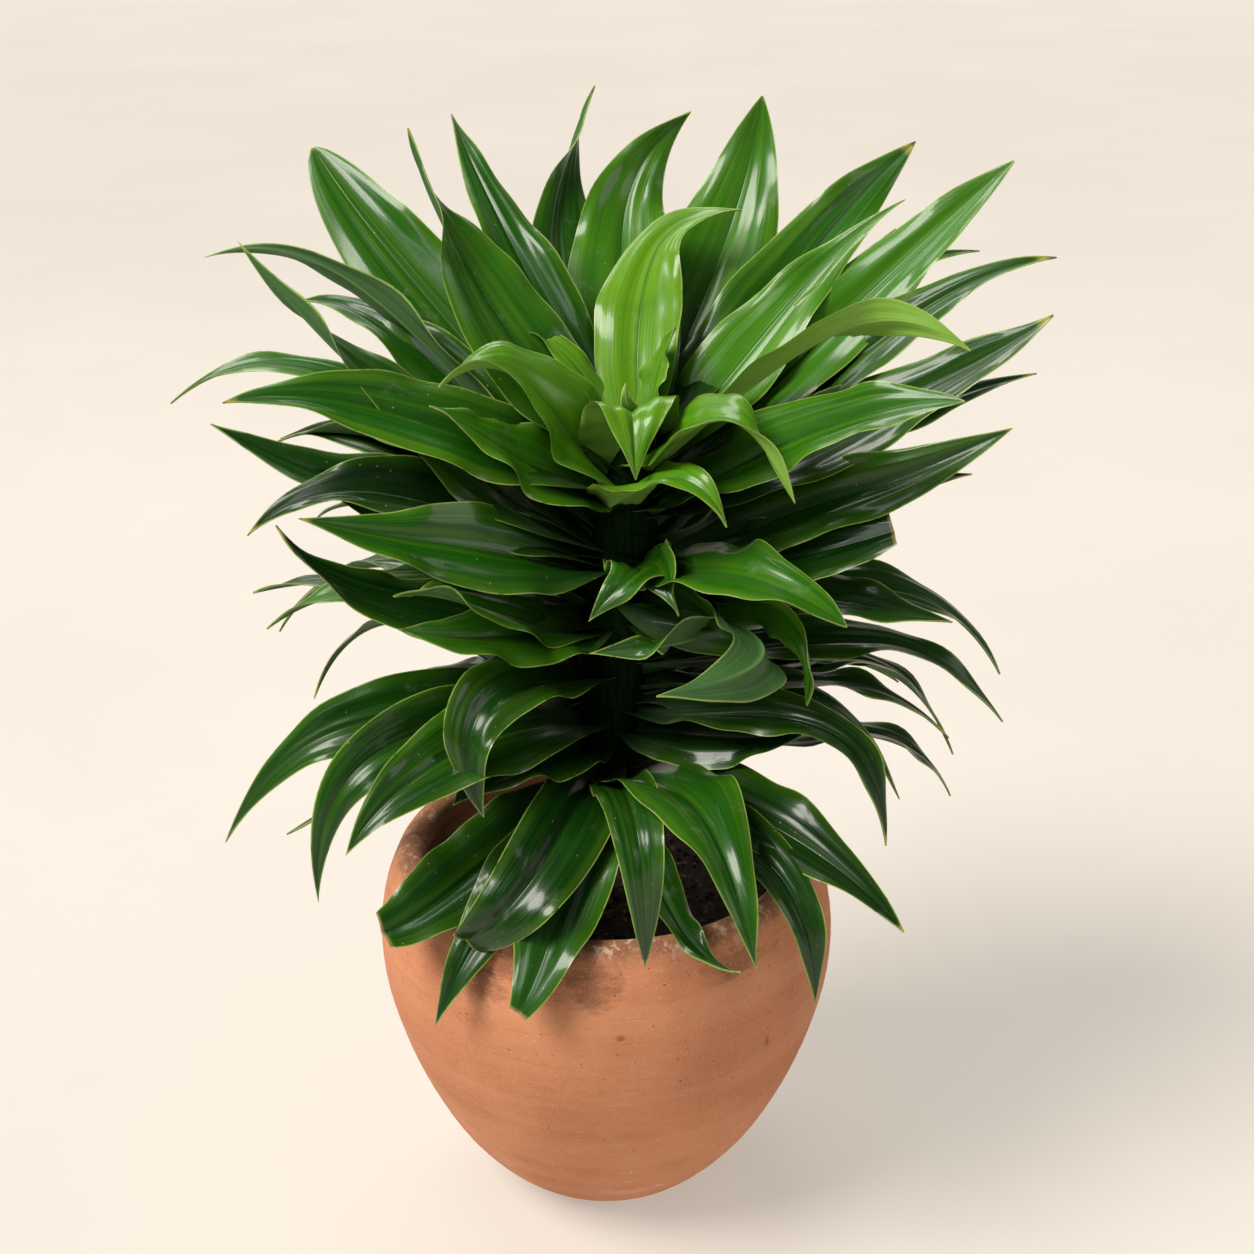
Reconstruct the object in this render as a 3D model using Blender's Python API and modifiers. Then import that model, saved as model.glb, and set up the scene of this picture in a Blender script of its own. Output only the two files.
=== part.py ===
"""A potted dracaena: a terracotta pot, its soil, a woody cane and the leafy stem.

The pot, the soil and the cane are turned shapes. Each leaf is a thin blade along a
curve through three measured places, and one Boolean union fuses all blades to the stem.
"""
import math
from collections import namedtuple

import bmesh
import bpy
import numpy as np

MM = 0.001
GAP = 0.3 * MM                     # clearance between pieces that touch

# the pot, radius and height in metres
FOOT_RADIUS = 0.042
POT_STEPS = 48                     # facets round the turned pot
OUTER_WALL = ((0.0915, 0.1830), (0.0970, 0.1803), (0.1032, 0.1690), (0.1083, 0.1490), (0.1085, 0.1220),
              (0.1020, 0.0920), (0.0910, 0.0620), (0.0760, 0.0340), (0.0530, 0.0080), (FOOT_RADIUS, 0.0))
INNER_WALL = ((0.0340, 0.0125), (0.0665, 0.0400), (0.0908, 0.0920), (0.0972, 0.1220), (0.0970, 0.1460),
              (0.0925, 0.1610), (0.0868, 0.1730), (0.0868, 0.1800))
DRAIN_RADIUS = 0.006
DRAIN_RING = 0.022                 # the drain holes' distance from the pot's axis
DRAIN_COUNT = 3

# the soil, 25 mm below the lip and a little higher at the cane
SOIL_TOP = ((0.0, 0.1600), (0.030, 0.1592), (0.060, 0.1570), (0.080, 0.1560))
SOIL_EDGE = 0.1555
CANE_FOOT = 0.050                  # the hole's floor in the soil
CANE_RADIUS = 0.0112
CANE_TOP = 0.195
CANE_STEPS = 16
SCAR_PITCH = 0.008                 # height between the rings that old leaves left
SCAR_DEPTH = 0.0008

# the green stem stands on the cane and leans toward +X
STEM_FOOT = CANE_TOP + GAP
STEM_TOP = 0.392
STEM_LEAN = 0.016
STEM_RADII = (0.0130, 0.0150, 0.0160, 0.0150, 0.0090)   # leaf bases wrap the stem and thicken it

# a blade: three points across, which the top and the underside share at the edges
BLADE_ROWS = 7
BACK_ROWS = 6
BLADE_THICKNESS = 1.5 * MM         # at the midrib
ROOT_DEPTH = 3 * MM                # how far off the stem's axis a blade starts
HOOKED = 0.35                      # share of a blade that droops or swings aside at the tip
WAVE_HEIGHT = 1.6 * MM             # of the waved edges

# Each leaf, in millimetres and degrees: the direction (0 to the front, positive to the right), height and
# climb at its base; the direction, reach from the pot's axis and height of its middle and of its tip; its
# width; its roll about the midrib (positive lifts the left edge, seen from the stem) and the further twist
# at the tip; how far the last third droops and swings aside; how it tapers, 0 blunt, 1 plain, more for a
# long thin tail; and where along the blade it was cut off, 1 for a whole leaf.
Leaf = namedtuple("Leaf", "name turn base rise mid_turn mid_reach mid_height tip_turn tip_reach tip_height "
                          "width roll twist droop swing taper cut")
LEAVES = (
    # the back of the crown, from the left round to the right
    ("A",  -112, 325, 42,  -111, 108, 436,  -110, 196, 449, 24,  50,   60,  14,   0, 1.3,    1),
    ("B",   -84, 325, 28,   -86, 115, 426,   -95, 159, 470, 42, -40,  150, -27,   0, 1.3,    1),
    ("C",  -118, 320, 42,  -117, 105, 418,  -120, 168, 424, 36, -35,   30,  10,   0,   1,    1),
    ("D",  -128, 330, 52,  -128, 123, 445,  -130, 181, 490, 50, -44,    0,  -4,   0, -0.6,    1),
    ("E",  -112, 362, 50,  -112,  62, 451,  -114,  93, 514, 46, -38,  120,   0,   4,   1,    1),
    ("F",  -146, 362, 56,  -146,  69, 450,  -148, 137, 506, 34, -15,   30,   0,   2,   1,    1),
    ("G",  -165, 360, 66,  -168, 106, 449,  -178, 145, 514, 42,  10,  120,   0,  14, 1.2,    1),
    ("H",   174, 368, 66,   176, 107, 448,   162, 131, 505, 54,   5,   30,  14, -14, 0.8,    1),
    ("I",   150, 366, 60,   148,  98, 442,   148, 138, 514, 58,  15,    0,   0,   0, 0.2,    1),
    ("J",   128, 364, 48,   128, 112, 442,   126, 179, 495, 42,  32,   30,  14,  -4, 0.5,    1),
    ("K",   114, 360, 42,   115,  83, 426,   112, 145, 479, 40,  35,    0,   6,   0, 1.8,    1),
    ("L",   106, 345, 42,   107, 109, 428,   106, 189, 497, 40,  38,    0,   0,   0, 0.2,    1),
    ("M",   122, 340, 42,   120, 150, 440,   118, 200, 446, 34,  20,    0,   0,   0,   1,    1),
    ("N",   100, 335, 34,    99, 106, 411,    96, 199, 461, 33,  35,    0,  10,   0,   1,    1),
    ("O",    88, 340, 30,    88, 108, 391,    87, 192, 444, 40,  42,    0,   0,   0, 0.5,    1),
    ("P",   105, 315, 30,   104, 145, 385,   102, 202, 402, 30,  30,    0,   0,   0,   1,    1),
    # the right side
    ("Q",    78, 366, 40,    79,  88, 431,    74, 158, 437, 36, -12, -140,  14,   0, 0.9,    1),
    ("R",    64, 345, 34,    65,  97, 402,    65, 162, 424, 37,  40,    0,   0,   0, 0.3,    1),
    ("S",    80, 320, 24,    78,  98, 362,    78, 177, 402, 38,  42,   50, -12,   0, 0.6,    1),
    ("T",    72, 312, 18,    71,  90, 340,    73, 131, 356, 42,  40,    0,   0,   0, 0.3, 0.88),
    ("U",    92, 315, 25,    95, 120, 355,    96, 168, 362, 34,  30,    0,   0,   0,   1,    1),
    # the left side
    ("la",  -98, 325, 33,   -98,  99, 399,   -96, 197, 394, 26, -20,    0,  14,   0, 1.1,    1),
    ("lb",  -70, 352, 34,   -74,  80, 400,   -76, 165, 414, 42, -45,    0,   0,   0,   1,    1),
    ("lc",  -82, 322, 26,   -84,  93, 361,   -88, 173, 394, 40, -42,    0,  -6,   0, 1.2,    1),
    ("ld", -100, 320, 30,  -100, 105, 378,  -104, 155, 372, 36, -20,    0,   0,   0,   1,    1),
    ("le",  -74, 315, 40,   -78,  78, 363,   -80, 159, 349, 40, -30,  -20,   8,   0, 1.2,    1),
    ("lf",  -92, 286, 28,   -92,  94, 311,   -94, 164, 306, 34, -20,   60,  14,   0,   1,    1),
    ("lg",  -70, 292, 15,   -72,  86, 313,   -76, 146, 358, 40, -30,    0,  -6,   0, 1.2,    1),
    ("lh",  -56, 318, 25,   -58,  76, 350,   -64, 142, 371, 42, -58,    0, -10,   0, 1.2,    1),
    ("li",  -82, 290, 18,   -82,  91, 315,   -83, 154, 301, 34, -30,   60,  22,   0,   1,    1),
    ("lj",  -50, 288, 20,   -48,  73, 325,   -46, 121, 345, 34, -30,   90,  10,   0,   1,    1),
    ("lk",  -42, 290, 20,   -46,  58, 307,   -50, 113, 325, 38, -38,    0,  -6,   0,   1,    1),
    # the heart
    ("ca",  -60, 350, 55,   -60,  38, 416,   -60,  80, 421, 50, -50,  110,  14,   0, 0.8,    1),
    ("cb", -128, 372, 60,  -128,  21, 418,  -125,  56, 425, 18,   0,    0,   0,   0,   1,    1),
    ("cc",  -62, 350, 25,   -63,  43, 383,   -68,  80, 410, 40, -40,   40,   0,   0, 0.8,    1),
    ("cd",  170, 380, 84,   160,  51, 436,   138,  93, 471, 42,   0,    0,  10, -16, 1.1,    1),
    ("ce",   30, 385, 86,    30,  20, 405,    30,  18, 415, 12,   0,    0,   0,   0,   1,    1),
    ("cf",  115, 384, 82,   110,  24, 408,   112,  33, 432, 24,   0,    0,   0,   0,   1,    1),
    ("cg",   20, 365, 84,    33,  22, 403,    18,  44, 380, 48,   0,    0,  14,   0, 0.9,    1),
    ("ch",   45, 366, 42,    47,  62, 407,    50, 104, 379, 40,  28, -140,  22,   0,   1,    1),
    ("ci",  -60, 352,  0,    30,  54, 383,    38,  84, 368, 32,  40,  -60,  16,   0, 0.8,    1),
    ("cj",   20, 322, 25,    22,  41, 337,    -7,  57, 321, 32,   0,    0,  10,   0,   1,    1),
    # the middle, in front
    ("ma",   44, 318, 18,    44,  87, 344,    51, 131, 330, 44,  12,    0,   4,   0, 0.4,    1),
    ("mb",   52, 305, 25,    54,  96, 323,    57, 105, 281, 36, 120,    0,   0,   0, 0.8,    1),
    ("mc",   70, 295,  5,    42,  58, 310,    -5,  76, 315, 32,  30,    0,   0,   0, 1.2,    1),
    ("md",   35, 305, 30,    44,  91, 319,    10, 122, 316, 40, 130,   40,   0,   0, 0.9,    1),
    # low on the right
    ("ra",   72, 312, 20,    73,  90, 321,    76, 158, 313, 38,  24,    0,   0,   0,   1,    1),
    ("rb",   86, 300, 20,    88, 116, 316,    92, 185, 266, 30,  15,    0,  26,   0, 0.6,    1),
    ("rc",   78, 272, 15,    83, 122, 293,    84, 184, 254, 30,  15,    0,  24,   0, 0.9,    1),
    ("rd",   82, 262, 12,    83, 104, 271,    88, 161, 239, 24,   5,    0,  26,   0,   1,    1),
    ("re",   76, 252, 18,    83, 121, 261,    83, 139, 212, 22,  10,   30,  45,   0, 1.2,    1),
    ("rf",   55, 252,  2,    60, 118, 268,    60, 144, 219, 28,  20,    0,   6,   0, 0.9,    1),
    ("rg",  100, 268, 10,   100,  93, 272,   103, 145, 250, 24,   0,    0,   6,   0,   1,    1),
    ("rh",   62, 240, 20,    62,  70, 253,    66, 103, 265, 38,  40,    0,   0,   0, 0.8,    1),
    # the skirt over the pot's rim
    ("wa",  -76, 238, 32,   -78, 135, 251,   -80, 180, 197, 42, -50,    0,  30,   0, 1.3,    1),
    ("wx",  -90, 252, 24,   -92,  78, 243,   -94, 139, 242, 30, -40,    0,   0,   0,   1,    1),
    ("wb",  -88, 240, 20,   -88,  98, 219,   -89, 154, 186, 24,   0,    0,  16,   0,   1,    1),
    ("wc",  -58, 236, 36,   -60,  89, 264,   -60, 148, 191, 36, -62,    0,   8,   0, 1.3,    1),
    ("wd",  -45, 240, 38,   -48, 100, 257,   -50, 146, 227, 44, -35,    0,   0,   0,   1,    1),
    ("we",  -28, 262, 40,   -42,  67, 285,   -36,  90, 234, 36, -25,    0,   0,   0, 0.9,    1),
    ("wf",  -45, 228, 35,   -43,  56, 246,   -46,  94, 236, 44, -20,    0,   0,   0,   1,    1),
    ("wg",  -45, 206, 40,   -48,  72, 198,   -50, 130, 182, 42, -28,    0,   0,   0,   0, 0.88),
    ("wh",  -16, 216, 50,   -18,  81, 217,   -35, 108, 181, 39, -30,    0,   0,   0, 0.2,  0.9),
    ("wi",  -33, 204, 15,   -33,  85, 190,   -37, 126, 143, 34, -20,    0,   0,   0, 1.2,    1),
    ("wj",  -14, 212, 40,   -13,  75, 200,   -18, 122, 161, 44,  -5,    0,   0,   0, 0.6, 0.93),
    ("wk",    8, 200, 56,     8,  92, 246,   9.5, 107, 178, 28,  10,    0,   0,   0, 0.8,    1),
    ("wl",   22, 204, 56,    24,  75, 245,    24, 157, 201, 48,   0,    0,   0,  12, 1.3,    1),
    ("wm",   16, 206, 25,    20,  66, 196,    26, 134, 186, 22,   0,    0,   0,  10,   1,    1),
    ("wn",   42, 212, 34,    44, 108, 232,    48, 173, 202, 42,  20,    0,   0,   0, 0.9,    1),
    ("wo",   30, 199, 22,    36, 123, 225,    37, 151, 169, 32,  10,    0,   0,   0, 0.7,    1),
    ("V",   116, 350, 45,   116,  98, 422,   114, 144, 465, 30,  35,    0,   4,   0,   1,    1),
    ("mf",   30, 320, 30,    28,  53, 339,    26,  72, 327, 30,  30,   60,  10,   0,   1,    1),
)

# the leaves round the back follow the golden angle up the stem
BACK_LEAVES = 26
GOLDEN_ANGLE = 137.5
BACK_ARC = 170.0


def heading(turn):
    """The level direction at an angle in degrees from the front (-Y), positive toward +X."""
    angle = math.radians(turn)
    return np.array([math.sin(angle), -math.cos(angle), 0.0])


def stem_point(height):
    """The point of the leaning stem's axis at a height."""
    share = min(max((height - STEM_FOOT) / (STEM_TOP - STEM_FOOT), 0.0), 1.0)
    return np.array([STEM_LEAN * share**2, 0.0, height])


def back_leaves():
    """Leaves round the back, each a golden angle on from the one below and steeper than it."""
    rng = np.random.default_rng(7)
    leaves = []
    for i in range(BACK_LEAVES):
        up = i / BACK_LEAVES
        turn = 180.0 - BACK_ARC / 2 + (i * GOLDEN_ANGLE) % BACK_ARC
        base = 216.0 + 130.0 * up
        rise = 15.0 + 33.0 * up
        reach = rng.uniform(150.0, 185.0)
        tip_height = 180.0 + 240.0 * up + rng.uniform(-12.0, 12.0)
        mid_height = base + 0.40 * reach * math.tan(math.radians(rise))
        tip_turn = turn + rng.uniform(-8.0, 8.0)
        leaves.append(Leaf("back%d" % i, turn, base, rise, turn, 0.58 * reach, mid_height, tip_turn, reach,
                           tip_height, rng.uniform(36.0, 44.0), rng.uniform(-15.0, 15.0),
                           rng.uniform(-30.0, 30.0), 12.0, 0.0, 1.3, 1.0))
    return leaves


def bezier(ends, share):
    """Points and unit directions of a cubic Bezier curve at shares of its parameter."""
    t = share[:, None]
    q = 1.0 - t
    a, b, c, d = ends
    point = q**3 * a + 3 * q**2 * t * b + 3 * q * t**2 * c + t**3 * d
    slope = q**2 * (b - a) + 2 * q * t * (c - b) + t**2 * (d - c)
    return point, slope / np.linalg.norm(slope, axis=1)[:, None]


def midrib(leaf, share):
    """The midrib through base, middle and tip, at even shares of its length, with its directions.

    The last third bends by a hook that grows as a square and ends at the tip.
    """
    base = stem_point(leaf.base * MM) + ROOT_DEPTH * heading(leaf.turn)
    middle = leaf.mid_reach * MM * heading(leaf.mid_turn) + np.array([0.0, 0.0, leaf.mid_height * MM])
    tip = leaf.tip_reach * MM * heading(leaf.tip_turn) + np.array([0.0, 0.0, leaf.tip_height * MM])
    hook = leaf.swing * MM * heading(leaf.tip_turn + 90.0) - np.array([0.0, 0.0, leaf.droop * MM])
    tip = tip - hook
    near, far = np.linalg.norm(middle - base), np.linalg.norm(tip - middle)
    climb = math.radians(leaf.rise)
    start = math.cos(climb) * heading(leaf.turn) + np.array([0.0, 0.0, math.sin(climb)])
    one = base + 0.45 * near * start
    t = near / (near + far)
    q = 1.0 - t
    two = (middle - q**3 * base - 3 * q**2 * t * one - t**3 * tip) / (3 * q * t**2)
    even = np.linspace(0.0, 1.0, 65)
    dense, _ = bezier((base, one, two, tip), even)
    run = np.concatenate([[0.0], np.cumsum(np.linalg.norm(np.diff(dense, axis=0), axis=1))])
    point, along = bezier((base, one, two, tip), np.interp(share * run[-1], run, even))
    bend = np.clip((share - 1.0 + HOOKED) / HOOKED, 0.0, 1.0)[:, None]
    along = along * run[-1] + 2 * bend / HOOKED * hook
    return point + bend**2 * hook, along / np.linalg.norm(along, axis=1)[:, None]


def blade_width(share, taper):
    """Share of the full width: 0.55 at the base, 1 at 0.45 of the length, a point at the tip."""
    near = np.clip(share / 0.45, 0.0, 1.0)
    far = np.clip((share - 0.45) / 0.55, 0.0, 1.0)
    fall = (1.0 - far ** (1.9 - 0.4 * taper)) ** (0.8 + 0.3 * taper)
    return np.where(share < 0.45, 0.55 + 0.45 * np.sin(0.5 * math.pi * near), fall)


def blade_rows(leaf, number, rows):
    """Right edge, midrib and left edge of the blade at each row, and the direction its face looks."""
    share = np.linspace(0.0, 1.0, rows)
    point, along = midrib(leaf, share)
    turn = np.radians(leaf.turn + (leaf.tip_turn - leaf.turn) * share)
    side = np.stack([np.cos(turn), np.sin(turn), 0.0 * share], axis=1)
    side -= along * np.sum(side * along, axis=1)[:, None]
    side /= np.linalg.norm(side, axis=1)[:, None]
    face = np.cross(along, side)
    roll = leaf.roll * np.clip(share / 0.4, 0.0, 1.0) + leaf.twist * np.clip((share - 0.4) / 0.6, 0.0, 1.0) ** 2
    roll = np.radians(roll)[:, None]
    side, face = side * np.cos(roll) + face * np.sin(roll), face * np.cos(roll) - side * np.sin(roll)
    half = 0.5 * leaf.width * MM * blade_width(share * leaf.cut, leaf.taper)
    keel = 0.22 + 0.5 * np.exp(-(share / 0.14) ** 2)
    fade = np.clip(4 * share, 0.0, 1.0) * np.clip(4 * (1.0 - share), 0.0, 1.0)
    edges = []
    for sign, pitch, shift in ((-1.0, 2.6, 0.0), (1.0, 3.1, 2.0)):
        wave = WAVE_HEIGHT * fade * np.sin(2 * math.pi * pitch * share + 2.4 * number + shift)
        edges.append(point + side * (sign * half * np.cos(keel))[:, None]
                     + face * (half * np.sin(keel) + wave)[:, None])
    return edges[0], point, edges[1], face


def blade_mesh(leaf, number, rows):
    """A closed thin blade, thickest at the midrib, with both faces cut into the same triangles."""
    right, middle, left, face = blade_rows(leaf, number, rows)
    lift = 0.5 * BLADE_THICKNESS * face
    whole = leaf.cut >= 1.0
    rows = rows - 1 if whole else rows
    corners = np.stack([right, middle + lift, left, middle - lift], axis=1)[:rows].reshape(-1, 3)
    faces = [(0, 1, 2), (0, 2, 3)]
    for row in range(rows - 1):
        a = 4 * row
        b = a + 4
        faces += [(a, b, b + 1), (a, b + 1, a + 1), (a + 1, b + 1, b + 2), (a + 1, b + 2, a + 2)]
        faces += [(a, b + 3, b), (a, a + 3, b + 3), (a + 3, b + 2, b + 3), (a + 3, a + 2, b + 2)]
    last = 4 * (rows - 1)
    if whole:
        corners = np.concatenate([corners, middle[-1:]])
        tip = last + 4
        faces += [(last, tip, last + 1), (last + 1, tip, last + 2), (last + 3, last + 2, tip), (last, last + 3, tip)]
    else:
        faces += [(last, last + 2, last + 1), (last, last + 3, last + 2)]
    mesh = bpy.data.meshes.new(leaf.name)
    mesh.from_pydata(corners.tolist(), [], faces)
    return mesh


def material(name, colour, roughness):
    """A plain Principled material."""
    finish = bpy.data.materials.new(name)
    finish.use_nodes = True
    shader = finish.node_tree.nodes["Principled BSDF"]
    shader.inputs["Base Color"].default_value = (*colour, 1.0)
    shader.inputs["Roughness"].default_value = roughness
    shader.inputs["Metallic"].default_value = 0.0
    return finish


def smooth_profile(points, steps=2):
    """A turned profile eased through its points with Catmull-Rom spans; the ends stay sharp."""
    points = np.array(points)
    padded = np.concatenate([points[:1], points, points[-1:]])
    eased = []
    for i in range(len(points) - 1):
        a, b, c, d = padded[i:i + 4]
        for t in np.arange(steps) / steps:
            eased.append(0.5 * (2 * b + (c - a) * t + (2 * a - 5 * b + 4 * c - d) * t**2
                                + (3 * b - a - 3 * c + d) * t**3))
    eased.append(points[-1])
    return [tuple(point) for point in eased]


def turned(name, profile, steps, finish, parts):
    """A profile of (radius, height) pairs turned about the Z axis."""
    mesh = bpy.data.meshes.new(name)
    mesh.from_pydata([(radius, 0.0, height) for radius, height in profile],
                     [(i, i + 1) for i in range(len(profile) - 1)], [])
    piece = bpy.data.objects.new(name, mesh)
    piece.data.materials.append(finish)
    parts.objects.link(piece)
    screw = piece.modifiers.new("turn", "SCREW")
    screw.steps = screw.render_steps = steps
    screw.use_merge_vertices = True
    screw.merge_threshold = 0.00005
    screw.use_smooth_shade = True
    return piece


def cutter(name, radius, low, high, x, y, cutters):
    """An upright cylinder that cuts a round hole."""
    bpy.ops.mesh.primitive_cylinder_add(vertices=24, radius=radius, depth=high - low,
                                        location=(x, y, 0.5 * (low + high)))
    tool = bpy.context.active_object
    tool.name = name
    tool.hide_render = True
    tool.display_type = "WIRE"
    for home in list(tool.users_collection):
        home.objects.unlink(tool)
    cutters.objects.link(tool)
    return tool


def cut(piece, tool):
    """Take the cutter out of the piece."""
    hole = piece.modifiers.new(tool.name, "BOOLEAN")
    hole.operation = "DIFFERENCE"
    hole.solver = "EXACT"
    hole.object = tool


def make_pot(parts, cutters, root):
    """The terracotta pot: a round shell with a rolled lip and drain holes round its solid centre."""
    floor = (0.0, INNER_WALL[0][1])
    profile = [floor] + smooth_profile(INNER_WALL) + smooth_profile(OUTER_WALL) + [(0.0, 0.0)]
    pot = turned("pot", profile, POT_STEPS, material("terracotta", (0.52, 0.21, 0.10), 0.85), parts)
    pot.parent = root
    for i in range(DRAIN_COUNT):
        angle = 2 * math.pi * (i + 0.5) / DRAIN_COUNT
        x, y = DRAIN_RING * math.cos(angle), DRAIN_RING * math.sin(angle)
        cut(pot, cutter("drain_%d" % (i + 1), DRAIN_RADIUS, -0.01, 0.03, x, y, cutters))


def make_soil(parts, cutters, root):
    """The soil fills the pot to below its lip, a gap off the wall, with a plain hole for the cane."""
    wall = np.array(smooth_profile(INNER_WALL))
    run = np.gradient(wall, axis=0)
    run /= np.linalg.norm(run, axis=1)[:, None]
    inset = wall + GAP * np.stack([-run[:, 1], run[:, 0]], axis=1)
    inset = inset[inset[:, 1] < SOIL_EDGE - 0.002]
    edge = np.interp(SOIL_EDGE, wall[:, 1], wall[:, 0]) - 1.5 * GAP
    profile = list(SOIL_TOP) + [(edge, SOIL_EDGE)] + [tuple(p) for p in inset[::-1]]
    profile.append((0.0, INNER_WALL[0][1] + GAP))
    soil = turned("soil", profile, POT_STEPS, material("potting_soil", (0.045, 0.028, 0.018), 0.95), parts)
    soil.parent = root
    cut(soil, cutter("cane_hole", CANE_RADIUS + GAP, CANE_FOOT - GAP, 0.2, 0.0, 0.0, cutters))


def make_cane(parts, root):
    """The bare woody cane: it stands in the soil, with rings where old leaves grew."""
    profile = [(0.0, CANE_TOP), (CANE_RADIUS, CANE_TOP)]
    height = CANE_TOP - SCAR_PITCH
    while height > SOIL_TOP[0][1] + SCAR_PITCH:
        profile += [(CANE_RADIUS - SCAR_DEPTH, height + 0.3 * SCAR_PITCH), (CANE_RADIUS, height)]
        height -= SCAR_PITCH
    profile += [(CANE_RADIUS, CANE_FOOT), (0.0, CANE_FOOT)]
    cane = turned("cane", profile, CANE_STEPS, material("cane_bark", (0.16, 0.10, 0.05), 0.8), parts)
    cane.parent = root


def stem_column(home):
    """The green stem, a tapering tube along its leaning axis, as a closed mesh."""
    curve = bpy.data.curves.new("stem_axis", "CURVE")
    curve.dimensions = "3D"
    curve.bevel_depth = 1.0
    curve.bevel_resolution = 3
    curve.use_fill_caps = True
    line = curve.splines.new("POLY")
    line.points.add(len(STEM_RADII) - 1)
    for i, radius in enumerate(STEM_RADII):
        height = STEM_FOOT + (STEM_TOP - STEM_FOOT) * i / (len(STEM_RADII) - 1)
        line.points[i].co = (*stem_point(height), 1.0)
        line.points[i].radius = radius
    axis = bpy.data.objects.new("stem_axis", curve)
    home.objects.link(axis)
    bpy.context.view_layer.update()
    tube = bpy.data.meshes.new_from_object(axis.evaluated_get(bpy.context.evaluated_depsgraph_get()))
    tube.transform(axis.matrix_world)
    bpy.data.objects.remove(axis)
    shape = bmesh.new()
    shape.from_mesh(tube)
    bmesh.ops.remove_doubles(shape, verts=shape.verts, dist=0.00001)
    bmesh.ops.recalc_face_normals(shape, faces=shape.faces)
    shape.to_mesh(tube)
    shape.free()
    return tube


def keep_largest_shell(mesh):
    """Drop loose scraps, and the walls of hollows that the fused blades closed off."""
    shape = bmesh.new()
    shape.from_mesh(mesh)
    left = set(shape.verts)
    shells = []
    while left:
        seeds = [left.pop()]
        shell = list(seeds)
        while seeds:
            for edge in seeds.pop().link_edges:
                for vert in edge.verts:
                    if vert in left:
                        left.remove(vert)
                        seeds.append(vert)
                        shell.append(vert)
        shells.append(shell)
    shells.sort(key=len)
    for shell in shells[:-1]:
        bmesh.ops.delete(shape, geom=shell, context="VERTS")
    bmesh.ops.triangulate(shape, faces=shape.faces)
    shape.to_mesh(mesh)
    shape.free()


def make_leafy_stem(parts, root):
    """The green stem with every leaf fused to it by one union, roots sunk in the stem."""
    blades = bpy.data.collections.new("blades")
    bpy.context.scene.collection.children.link(blades)
    for number, leaf in enumerate([Leaf(*row) for row in LEAVES] + back_leaves()):
        rows = BLADE_ROWS if number < len(LEAVES) else BACK_ROWS
        blades.objects.link(bpy.data.objects.new(leaf.name, blade_mesh(leaf, number, rows)))
    stem = bpy.data.objects.new("leafy_stem", stem_column(parts))
    parts.objects.link(stem)
    union = stem.modifiers.new("fuse", "BOOLEAN")
    union.operation = "UNION"
    union.solver = "MANIFOLD"     # EXACT leaves open edges where this many blades cross
    union.operand_type = "COLLECTION"
    union.collection = blades
    bpy.context.view_layer.update()
    fused = bpy.data.meshes.new_from_object(stem.evaluated_get(bpy.context.evaluated_depsgraph_get()))
    stem.modifiers.clear()
    keep_largest_shell(fused)
    stem.data = fused
    stem.data.materials.clear()
    stem.data.materials.append(material("leaf_green", (0.045, 0.16, 0.03), 0.35))
    stem.parent = root
    for blade in list(blades.objects):
        bpy.data.objects.remove(blade)
    bpy.data.collections.remove(blades)


def main():
    for item in list(bpy.data.objects):
        bpy.data.objects.remove(item)
    parts = bpy.data.collections.new("potted_dracaena")
    cutters = bpy.data.collections.new("cutters")
    bpy.context.scene.collection.children.link(parts)
    bpy.context.scene.collection.children.link(cutters)
    root = bpy.data.objects.new("plant_root", None)
    parts.objects.link(root)
    make_pot(parts, cutters, root)
    make_soil(parts, cutters, root)
    make_cane(parts, root)
    make_leafy_stem(parts, root)


main()
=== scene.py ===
# %% [markdown]
# # A leafy dracaena in a clay pot
# The plant is a bush of about a hundred strap-shaped leaves on one short
# stem, in a round-bellied terracotta pot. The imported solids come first, as a
# fixed frame. Every piece of plant and pot below takes the place of one of
# them, in the same metres: +Z is up, -Y is the front, and the middle of the
# pot's foot is zero.

# %% The frame and the tools
import math
from collections import namedtuple

import bpy
import numpy as np
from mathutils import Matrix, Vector


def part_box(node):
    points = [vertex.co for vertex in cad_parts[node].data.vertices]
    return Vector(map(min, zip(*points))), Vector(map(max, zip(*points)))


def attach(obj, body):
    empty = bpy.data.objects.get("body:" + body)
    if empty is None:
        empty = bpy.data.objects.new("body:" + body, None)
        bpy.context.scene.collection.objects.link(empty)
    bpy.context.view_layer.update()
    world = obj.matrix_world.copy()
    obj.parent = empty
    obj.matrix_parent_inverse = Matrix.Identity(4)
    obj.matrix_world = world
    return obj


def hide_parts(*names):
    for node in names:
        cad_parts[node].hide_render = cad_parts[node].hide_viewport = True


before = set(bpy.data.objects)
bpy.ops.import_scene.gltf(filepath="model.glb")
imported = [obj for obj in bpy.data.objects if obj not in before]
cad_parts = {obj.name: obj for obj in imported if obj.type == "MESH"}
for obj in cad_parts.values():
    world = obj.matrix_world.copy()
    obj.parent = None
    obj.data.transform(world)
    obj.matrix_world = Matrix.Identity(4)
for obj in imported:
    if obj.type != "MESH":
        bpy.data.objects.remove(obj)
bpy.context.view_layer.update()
MM = 0.001
TURN = 2 * math.pi

# %% [markdown]
# ## Camera
# The pot tells where the camera was: its lip and its foot are circles, and
# how flat they look gives the pitch. It looks down by 24 degrees from about a
# metre away, through a long lens, which keeps the pot from spreading.

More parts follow.
